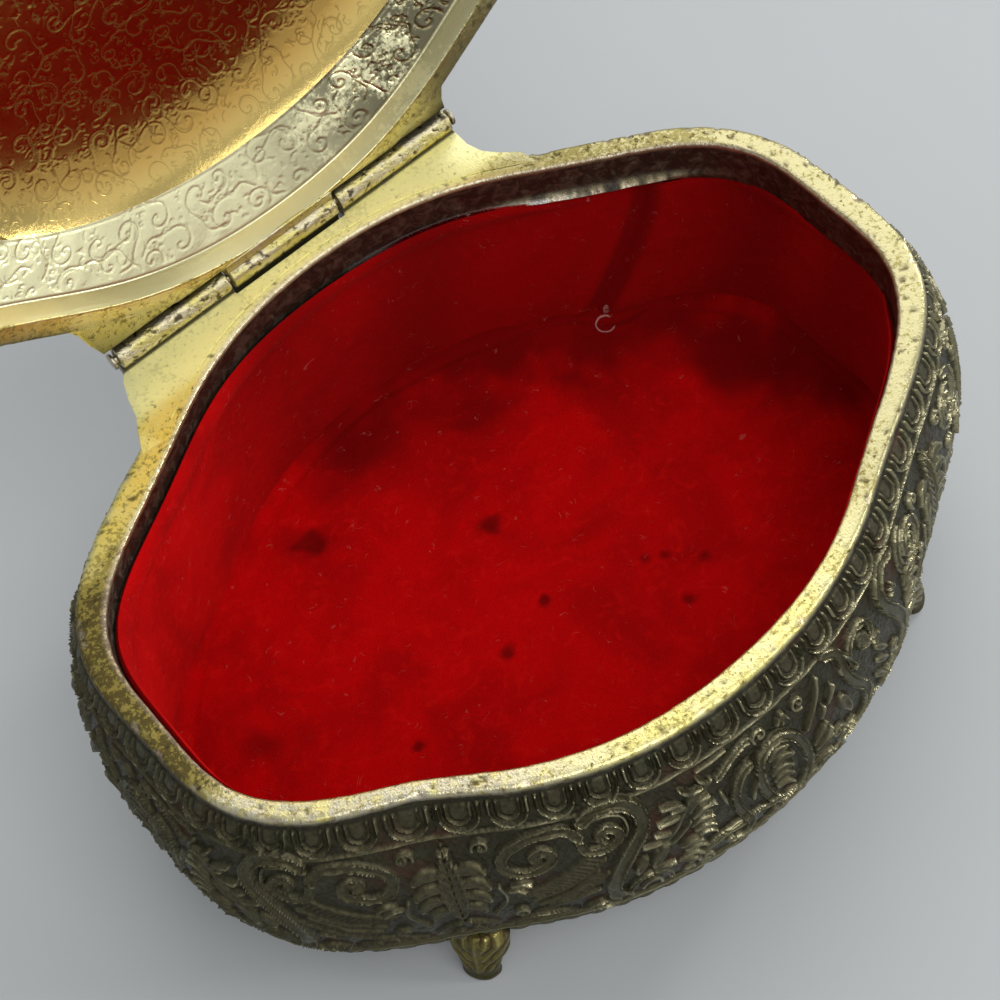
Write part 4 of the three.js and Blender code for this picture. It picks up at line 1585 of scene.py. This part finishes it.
def crease_marks(flat):
    """How deep each place of the floor lies in its crease"""
    nearest = np.full(len(flat), 1e9)
    for start, end in zip(floor_crease, floor_crease[1:]):
        start, run = np.array(start), np.array(end) - np.array(start)
        share = np.clip(((flat - start) @ run) / (run @ run), 0, 1)
        nearest = np.minimum(nearest, np.linalg.norm(flat - start - share[:, None] * run, axis=1))
    return np.exp(-(nearest / 0.7) ** 2)


def build_velvet_floor(material):
    """Padded velvet floor, turned up at its edge, then dented, creased and crushed by use, with painted shade
    """
    dent_depth = 0.0005
    crease_depth = 0.0007
    thinnest = 0.0001
    bulge = 0.0003
    obj = close_up(draped_grid("velvet_pad", 132, 88, pad_form))
    swell(obj)
    finer = obj.modifiers.new("finer", "SUBSURF")
    finer.levels = 1
    finer.render_levels = 1
    bpy.ops.object.modifier_apply(modifier="finer")
    points = points_of(obj) / grown
    rise, upper = marks_of(obj, "rise"), marks_of(obj, "upper")
    flat = points[:, :2] / MM
    sink = 0.00022 * cloud(flat[:, 0], flat[:, 1], 14.0, 6.0)
    dented, creased = dent_marks(flat), crease_marks(flat)
    points[:, 2] += upper * (sink - dent_depth * dented - crease_depth * creased)
    points[:, 2] = np.clip(points[:, 2], lining_bottom + thinnest * upper, velvet_floor_top + bulge + rise)
    move_points(obj, stand(*points.T))
    crushed = 0.3 + 0.35 * cloud(flat[:, 0], flat[:, 1], 9.0, 2.0)
    # Painted shade: darker towards the back right and towards the walls
    crushed = crushed + 0.4 * eased((flat @ (0.6, 0.8) - 14) / 16)
    crushed = crushed + 0.3 * eased((np.hypot(flat[:, 0] / 50, flat[:, 1] / 35) - 0.55) / 0.4)
    mark(obj, "crushed", np.clip(crushed + 0.8 * dented + 0.8 * creased, 0, 1.4))
    smooth(obj, math.radians(80))
    settle(obj, material, "box", "velvet_floor")


def shade(colour, share):
    """A colour made darker or lighter"""
    return tuple(min(1.0, part * share) for part in colour)


def mixed(first, second, share):
    """A colour between two colours, by the share of the second"""
    return tuple((1 - share) * a + share * b for a, b in zip(first, second))


def tarnished_casting(gilded=False):
    """Old cast metal: dark in its ground, rubbed bright on its high spots, with painted light on its right
    side
    """
    finish = Finish("foot_casting" if gilded else "tarnished_casting")
    relief = finish.attribute("relief")
    crest = finish.attribute("crest")
    cloudy = finish.noise(160.0, 4.0, 0.6)
    fine = finish.noise(1500.0, 3.0, 0.6)
    grit = finish.noise(4200.0, 2.0, 0.5)
    spread = finish.along("X")
    # Painted light: the high spots are made brighter towards the right and darker towards the left, as if lit
    # from the right
    painted_side_light = 0.22 * finish.step(spread, 0.0, 0.045) - 0.30 * finish.step(0 - spread, 0.012, 0.042)
    rub_and_side_light = finish.step(crest + painted_side_light + (cloudy - 0.5) * 0.9 + (fine - 0.5) * 0.6, 0.30, 0.86)
    deep = 1 - finish.step(relief, 0.02, 0.25)
    rust = finish.step(finish.noise(95.0, 5.0, 0.65), 0.54, 0.66) * deep
    green = finish.step(finish.noise(210.0, 4.0, 0.6), 0.48, 0.66)
    verdigris = (0.066, 0.064, 0.036)
    rust_red = (0.080, 0.036, 0.020)
    tarnish, silver = find_colour("tarnish"), find_colour("silver")
    if gilded:
        silver = shade(find_colour("gilt"), 0.32)
        tarnish = shade(find_colour("old_gilt"), 0.22)
    ground = finish.blend(deep, shade(tarnish, 2.2), tarnish)
    ground = finish.blend(green * 0.45, ground, verdigris)
    ground = finish.blend(rust * 0.75, ground, rust_red)
    ground = finish.blend(finish.step(fine, 0.38, 0.72) * 0.5, ground, shade(tarnish, 0.3))
    colour = finish.blend(rub_and_side_light * 0.85, ground, silver)
    roughness = 0.44 - 0.26 * rub_and_side_light + 0.22 * (fine - 0.5) + 0.12 * rust
    normal = finish.bump(fine * 0.6 + grit * 0.4, 0.45, 0.0002)
    return finish.surface(Base_Color=colour, Metallic=0.75 + 0.25 * rub_and_side_light, Roughness=roughness, Normal=normal)


def rim_gilding():
    """Worn gilding of the rim: pale and speckled, olive in patches, and rubbed through on its inner edge"""
    finish = Finish("rim_gilding")
    pits, worn, collar = (finish.attribute(name) for name in ("pits", "worn", "collar"))
    spread, depth, level = (finish.along(axis) for axis in "XYZ")
    left = finish.step(0 - spread, 0.032, 0.042) * finish.step(0 - depth, -0.017, -0.009)
    left = left * finish.step(depth, -0.020, -0.013)
    front = finish.step(0 - depth, 0.014, 0.020) * finish.step(0 - spread, 0.014, 0.028)
    highlight_lip = finish.step(rim_z - 0.0050 - level, 0, 0.0005) * finish.step(depth, 0.006, 0.012)
    highlight_lip = highlight_lip * finish.step(spread, 0.002, 0.012) * finish.step(0.034 - spread, 0, 0.008)
    far = finish.step(depth, 0.002, 0.014) * finish.step(spread, 0.026, 0.034)
    patches = finish.noise(260.0, 4.0, 0.6)
    specks = finish.noise(1700.0, 4.0, 0.7)
    fine = finish.noise(4200.0, 2.0, 0.5)
    smears = finish.noise(620.0, 4.0, 0.65, 0.8)
    # More olive and dark patches on the left and at the back right, which makes those sides of the rim darker
    darker_sides = left * 1.9 + far * 0.7
    olive = finish.step(specks + (patches - 0.5) * 0.45 + darker_sides * 0.16, 0.53, 0.62)
    dark = finish.step(specks + (smears - 0.5) * 0.7 + darker_sides * 0.13, 0.66, 0.76)
    gilt, old_gilt = find_colour("gilt"), find_colour("old_gilt")
    pale = mixed(gilt, (0.90, 0.86, 0.55), 0.5)
    shaded_gilt, brown = (0.54, 0.49, 0.26), (0.27, 0.20, 0.05)
    silvery, leaf_highlight_gilt = (0.70, 0.64, 0.50), (1.0, 0.95, 0.46)
    grime, pit_dirt_and_shade, shadow = (0.085, 0.060, 0.018), (0.05, 0.037, 0.015), (0.03, 0.022, 0.01)
    bared, bared_dark = (0.66, 0.55, 0.46), (0.34, 0.26, 0.20)
    collar_dark, collar_pale, lip_highlight = (0.030, 0.022, 0.014), (0.095, 0.078, 0.052), (0.80, 0.77, 0.72)
    # Painted light: the hinge leaf is painted a paler, brighter gilt and made less metallic, for the bright
    # light that it catches
    leaf = finish.step(depth, hinge_y - 0.0100, hinge_y - 0.0070) * finish.step(0.031 - spread, 0, 0.002)
    leaf = leaf * finish.step(spread, -0.034, -0.032) * finish.step(hinge_z + 0.002 - level, 0, 0.0005)
    colour = finish.blend(finish.step(patches, 0.35, 0.6), pale, gilt)
    # Painted shade: the right half of the rim, but not the hinge leaf, is painted a duller gilt to tone down
    # its reflection
    colour = finish.blend(finish.step(spread, 0.005, 0.030) * (1 - leaf), colour, shaded_gilt)
    colour = finish.blend(left * 0.85, colour, brown)
    colour = finish.blend(front * finish.step(smears, 0.30, 0.55) * 0.85, colour, silvery)
    colour = finish.blend(leaf, colour, leaf_highlight_gilt)
    colour = finish.blend(olive * (0.7 - 0.45 * leaf), colour, old_gilt)
    colour = finish.blend(dark * (0.8 - 0.3 * leaf), colour, grime)
    # Dark dirt in the pits, and the same dark colour as painted shade in the recesses of the lid's leaf
    colour = finish.blend(pits * 0.85, colour, pit_dirt_and_shade)
    bare = finish.blend(finish.step(specks, 0.4, 0.65), bared, bared_dark)
    colour = finish.blend(worn * 0.8, colour, bare)
    inner = finish.blend(finish.step(smears, 0.40, 0.68), collar_dark, collar_pale)
    # Painted highlight: the bead low on the collar is painted pale for a glossy streak
    inner = finish.blend(highlight_lip * 0.75, inner, lip_highlight)
    colour = finish.blend(collar * (1 - 0.9 * worn), colour, inner)
    crevice = finish.step(depth, hinge_y - 0.0019, hinge_y - 0.0015)
    crevice = crevice * finish.step(hinge_z + 0.003 - level, 0, 0.001)
    colour = finish.blend(crevice * 0.9, colour, shadow)
    roughness = 0.30 + 0.18 * olive + 0.2 * dark + 0.02 * collar - 0.14 * highlight_lip
    normal = finish.bump(specks * 0.6 + fine * 0.4, 0.45, 0.00025)
    metal_share = 1 - 0.2 * dark - 0.6 * leaf * (1 - collar) - 0.45 * collar * (1 - worn) * (1 - highlight_lip)
    return finish.surface(Base_Color=colour, Metallic=metal_share, Roughness=roughness, Normal=normal)


def knuckle_gilding():
    """Gilding of the knuckles, rubbed to the pale metal under it, with dirt in its dents"""
    finish = Finish("knuckle_gilding")
    pits = finish.attribute("pits")
    rubbed = finish.noise(700.0, 3.0, 0.6, place=finish.stretch((0.35, 1, 1)))
    specks = finish.noise(2400.0, 3.0, 0.65)
    gilt = shade(find_colour("gilt"), 0.66)
    pale_metal, dirt, dent_dirt = (0.60, 0.54, 0.36), (0.17, 0.12, 0.05), (0.06, 0.04, 0.02)
    colour = finish.blend(finish.step(rubbed, 0.40, 0.62), pale_metal, gilt)
    colour = finish.blend(finish.step(specks, 0.56, 0.68) * 0.7, colour, dirt)
    colour = finish.blend(pits * 0.9, colour, dent_dirt)
    return finish.surface(Base_Color=colour, Metallic=1.0, Roughness=0.30 + 0.2 * rubbed,
                          Normal=finish.bump(specks, 0.5, 0.0002))


def lid_gilding(name, roughness, satin):
    """Gilding inside the lid: smooth, with dark engraved lines"""
    finish = Finish(name)
    engraved = finish.attribute("engraved")
    band = finish.attribute("band")
    broad = finish.noise(140.0, 3.0, 0.5)
    specks = finish.noise(1900.0, 4.0, 0.65)
    fine = finish.noise(4000.0, 2.0, 0.5)
    gilt, old_gilt = find_colour("gilt"), find_colour("old_gilt")
    pale = mixed(gilt, (1.0, 0.98, 0.66), 0.75)
    amber, reflection_edge_gilt = (0.56, 0.335, 0.085), (0.72, 0.54, 0.18)
    dark_blotch, engraving = (0.060, 0.050, 0.028), (0.13, 0.085, 0.025)
    # Painted reflection: the dome's gilding turns lighter and yellower towards its edge
    base = finish.blend(band, amber, reflection_edge_gilt)
    if satin:
        base = finish.blend(finish.step(broad, 0.35, 0.65), pale, shade(pale, 0.92))
        base = finish.blend(band, base, shade(pale, 0.80))
    speckled = 0.5 * (1 - band) if satin else 0.5
    colour = finish.blend(finish.step(specks, 0.62, 0.72) * speckled, base, old_gilt)
    cut = finish.step(engraved, 0.28, 0.70)
    if satin:
        # Painted reflection: the marked end of the shoulder is painted a mottled dark brown, as if it
        # mirrored dark surroundings
        stained = finish.attribute("stained") * finish.step(broad + (specks - 0.5) * 0.6, 0.32, 0.50)
        colour = finish.blend(stained * (0.88 - 0.6 * band), colour, dark_blotch)
    colour = finish.blend(cut * (0.75 if satin else 0.4), colour, engraving)
    rough = roughness + 0.08 * (broad - 0.5) + 0.15 * cut + 0.08 * finish.step(specks, 0.55, 0.75)
    normal = finish.bump(specks * 0.6 + fine * 0.4, 0.18 if satin else 0.08, 0.0002)
    metal_share = 1 - 0.12 * (1 - band) * (1 - cut) if satin else 1.0
    return finish.surface(Base_Color=colour, Metallic=metal_share, Roughness=rough, Normal=normal)


# A curl of thread on the floor: place, radius, and where its gap is from its centre
thread_place = (0.0321, mouth_y + 0.0240, 0.0)
thread_radius = 0.0012
thread_gap = (0.0012, -0.0004, 0)


def red_velvet():
    """Cotton velvet: deep red, paler where its pile leans to the light, darker where it is crushed and where
    shade is painted
    """
    finish = Finish("red_velvet_pile")
    crushed = finish.attribute("crushed")
    leaning = finish.noise(75.0, 3.0, 0.55, 0.6)
    brushed = finish.noise(420.0, 3.0, 0.6, 1.2)
    pile = finish.noise(5200.0, 2.0, 0.6)
    strands = finish.noise(330.0, 1.0, 0.4, 1.5)
    strand = 1 - finish.step(abs(strands - 0.5), 0.004, 0.012)
    strand = strand * finish.step(finish.noise(520.0, 2.0, 0.5), 0.60, 0.66)
    specks = 1 - finish.step(finish.cells(420.0), 0.05, 0.09)
    specks = specks * finish.step(finish.noise(130.0, 2.0, 0.5), 0.56, 0.62)
    flat = finish.stretch((1, 1, 0))
    uneven = (finish.noise(500.0, 1.0, 0.3) - 0.5) * 0.0007
    reach = finish.distance(flat, thread_place) + uneven - thread_radius
    thread = 1 - finish.step(abs(reach), 0.00007, 0.00014)
    gap = tuple(place + shift for place, shift in zip(thread_place, thread_gap))
    thread = thread * finish.step(finish.distance(flat, gap), 0.0006, 0.0010)
    velvet = find_colour("velvet")
    lint, cotton, brushed_red = (0.55, 0.20, 0.17), (0.50, 0.28, 0.25), (velvet[0] * 1.25, 0.006, 0.004)
    colour = finish.blend(finish.step(leaning, 0.35, 0.7), velvet, shade(velvet, 0.70))
    colour = finish.blend(finish.step(brushed, 0.5, 0.72) * 0.35, colour, brushed_red)
    # Crushed pile and painted shade darken the velvet
    colour = finish.blend(finish.step(crushed, 0.5, 1.1), colour, shade(velvet, 0.34))
    colour = finish.blend(finish.step(pile, 0.45, 0.75) * 0.35, colour, shade(velvet, 0.45))
    colour = finish.blend(strand * 0.22 + specks * 0.22, colour, lint)
    colour = finish.blend(thread * 0.7, colour, cotton)
    normal = finish.bump(pile, 0.5, 0.0003, finish.bump(brushed, 0.25, 0.0006))
    return finish.surface(Base_Color=colour, Roughness=0.92, Normal=normal, Sheen_Weight=0.18,
                          Sheen_Roughness=0.4, Sheen_Tint=(0.9, 0.05, 0.04), Specular_IOR_Level=0.08)


def grey_card():
    """Pulp board behind the velvet"""
    finish = Finish("grey_card_board")
    fibres = finish.noise(900.0, 4.0, 0.7, place=finish.stretch((1, 1, 4)))
    colour = finish.blend(finish.step(fibres, 0.3, 0.7), (0.42, 0.36, 0.27), (0.30, 0.25, 0.18))
    return finish.surface(Base_Color=colour, Roughness=0.9, Normal=finish.bump(fibres, 0.3, 0.0003))


def drawn_wire():
    """Hinge wire, drawn and a little stained"""
    finish = Finish("drawn_wire")
    drawn = finish.noise(1400.0, 3.0, 0.6, place=finish.stretch((0.05, 1, 1)))
    dark_blotch = finish.noise(260.0, 4.0, 0.6)
    colour = finish.blend(finish.step(dark_blotch, 0.45, 0.7), (0.50, 0.45, 0.34), (0.16, 0.12, 0.07))
    return finish.surface(Base_Color=colour, Metallic=1.0, Roughness=0.28 + 0.25 * dark_blotch,
                          Normal=finish.bump(drawn, 0.3, 0.0001))


class BowlWalls(bpy.types.Operator):
    """Add the four panels of the bowl's wall, with their cast relief"""

    bl_idname = "trinket.bowl_walls"
    bl_label = "Bowl walls"

    def execute(self, context):
        material = tarnished_casting()
        field = panel_field()
        crests = field.crests()
        for name, panel, span, fineness in wall_parts:
            build_wall(name, field, crests, panel, span, fineness, material)
        bowl_underside(material)
        return {"FINISHED"}


class BowlRim(bpy.types.Operator):
    """Add the gilt rim with its collar, and the bowl's hinge leaf and knuckles"""

    bl_idname = "trinket.bowl_rim"
    bl_label = "Bowl rim and hinge leaf"

    def execute(self, context):
        material = rim_gilding()
        bowl_rim(material)
        bowl_leaf(material)
        bowl_knuckles(knuckle_gilding())
        return {"FINISHED"}


class Lid(bpy.types.Operator):
    """Add the lid: its engraved inside, its cast outside and its hinge leaf"""

    bl_idname = "trinket.lid"
    bl_label = "Lid"

    def execute(self, context):
        lid_rim(bpy.data.materials["rim_gilding"])
        lid_leaf(bpy.data.materials["rim_gilding"])
        lid_knuckle(bpy.data.materials["knuckle_gilding"])
        lid_dome_inside(lid_gilding("dome_gilding", 0.17, False))
        lid_shoulder_inside(lid_gilding("shoulder_gilding", 0.30, True))
        casting = bpy.data.materials["tarnished_casting"]
        lid_shoulder_outside(casting)
        lid_dome_outside(casting)
        return {"FINISHED"}


class Feet(bpy.types.Operator):
    """Add the four leaf feet"""

    bl_idname = "trinket.feet"
    bl_label = "Feet"

    def execute(self, context):
        material = tarnished_casting(gilded=True)
        for node, place, lean, top in foot_centres():
            build_foot(node, place, lean, top, material)
        return {"FINISHED"}


class HingePin(bpy.types.Operator):
    """Add the hinge pin with its peened heads"""

    bl_idname = "trinket.hinge_pin"
    bl_label = "Hinge pin"

    def execute(self, context):
        build_pin(drawn_wire())
        return {"FINISHED"}


class Lining(bpy.types.Operator):
    """Add the velvet wall and floor, and finish the cards behind them"""

    bl_idname = "trinket.lining"
    bl_label = "Velvet lining"

    def execute(self, context):
        velvet = red_velvet()
        build_velvet_wall(velvet)
        build_velvet_floor(velvet)
        card = grey_card()
        for node in ("floor_card", "wall_card"):
            cover(frame["nodes"][node], card)
        return {"FINISHED"}


# Camera: the turns that set it, in degrees, how far off it stands, what it looks at, and its lens
camera_azimuth = -27.38
camera_elevation = 59.65
camera_roll = -14.26
camera_distance = 0.2239
camera_target = (-0.00516, mouth_y - 0.00463, rim_z)
camera_lens = 72
camera_sensor = 36

# Soft lights: name, place, size and power
light_target = (0, mouth_y, 0.03)
soft_lights = (
    ("window", (0.70, 0.66, 1.02), (1.3, 1.3), 8.0),
    ("overhead", (0.0, -0.70, 1.05), (0.9, 0.9), 5.8),
    ("right", (0.95, 0.10, 0.35), (0.16, 0.30), 2.4),
    ("front_right", (0.72, -0.62, 0.40), (0.16, 0.30), 2.3),
    ("front", (0.1, -1.2, 0.30), (1.3, 0.6), 1.0),
)
floor_size = 8
surroundings_colour = (0.94, 0.97, 1.0, 1)
surroundings_strength = 0.45


def add_camera(scene):
    """Camera, turned about the line that it looks along"""
    azimuth, elevation, roll = map(math.radians, (camera_azimuth, camera_elevation, camera_roll))
    away = Vector((math.cos(elevation) * math.sin(azimuth), -math.cos(elevation) * math.cos(azimuth),
                   math.sin(elevation)))
    level = Vector((math.cos(azimuth), math.sin(azimuth), 0))
    upright = away.cross(level)
    right = level * math.cos(roll) + upright * math.sin(roll)
    up = away.cross(right)
    camera = bpy.data.cameras.new("camera")
    camera.lens = camera_lens
    camera.sensor_width = camera_sensor
    camera.clip_start = 0.01
    holder = bpy.data.objects.new("camera", camera)
    turn = Matrix((right, up, away)).transposed().to_4x4()
    holder.matrix_world = Matrix.Translation(Vector(camera_target) + away * camera_distance) @ turn
    scene.collection.objects.link(holder)
    scene.camera = holder


def add_floor():
    """Studio floor, of plain paper"""
    deselect()
    bpy.ops.mesh.primitive_plane_add(size=floor_size)
    ground = bpy.context.object
    ground.name = "floor"
    finish = Finish("floor_paper")
    grain = finish.noise(60.0, 4.0, 0.6)
    floor = find_colour("floor")
    colour = finish.blend(grain, shade(floor, 0.97), floor)
    ground.data.materials.append(finish.surface(Base_Color=colour, Roughness=0.6))


def add_soft_light(scene, name, place, size, watts):
    light = bpy.data.lights.new(name, "AREA")
    light.shape = "RECTANGLE"
    light.size, light.size_y = size
    light.energy = watts
    obj = bpy.data.objects.new(name, light)
    obj.location = place
    obj.rotation_euler = (Vector(light_target) - Vector(place)).to_track_quat("-Z", "Y").to_euler()
    scene.collection.objects.link(obj)


class Studio(bpy.types.Operator):
    """Add the camera, the floor, the soft lights and the pale surroundings"""

    bl_idname = "trinket.studio"
    bl_label = "Studio"

    def execute(self, context):
        scene = context.scene
        add_camera(scene)
        add_floor()
        for name, place, size, watts in soft_lights:
            add_soft_light(scene, name, place, size, watts)
        world = bpy.data.worlds.new("surroundings")
        scene.world = world
        world.use_nodes = True
        background = world.node_tree.nodes["Background"]
        background.inputs["Color"].default_value = surroundings_colour
        background.inputs["Strength"].default_value = surroundings_strength
        scene.view_settings.view_transform = "Standard"
        return {"FINISHED"}


class TrinketPanel(bpy.types.Panel):
    """Lists the pieces of the box and what can be changed on them"""

    bl_idname = "VIEW3D_PT_trinket_box"
    bl_label = "Trinket Box"
    bl_space_type = "VIEW_3D"
    bl_region_type = "UI"
    bl_category = "Trinket Box"

    def draw(self, context):
        for group in (context.scene.trinket_sizes, context.scene.trinket_colours):
            column = self.layout.column(align=True)
            for name in type(group).__annotations__:
                column.prop(group, name)
        column = self.layout.column(align=True)
        for operator in operators:
            column.operator(operator.bl_idname)


operators = (BowlWalls, BowlRim, Lid, Feet, HingePin, Lining, Studio)
classes = (TrinketSizes, TrinketColours, *operators, TrinketPanel)


def register():
    for each in classes:
        bpy.utils.register_class(each)
    bpy.types.Scene.trinket_sizes = bpy.props.PointerProperty(type=TrinketSizes)
    bpy.types.Scene.trinket_colours = bpy.props.PointerProperty(type=TrinketColours)


def unregister():
    del bpy.types.Scene.trinket_colours
    del bpy.types.Scene.trinket_sizes
    for each in reversed(classes):
        bpy.utils.unregister_class(each)


def main():
    register()
    for operator in operators:
        group, name = operator.bl_idname.split(".")
        getattr(getattr(bpy.ops, group), name)()


if __name__ == "__main__":
    main()
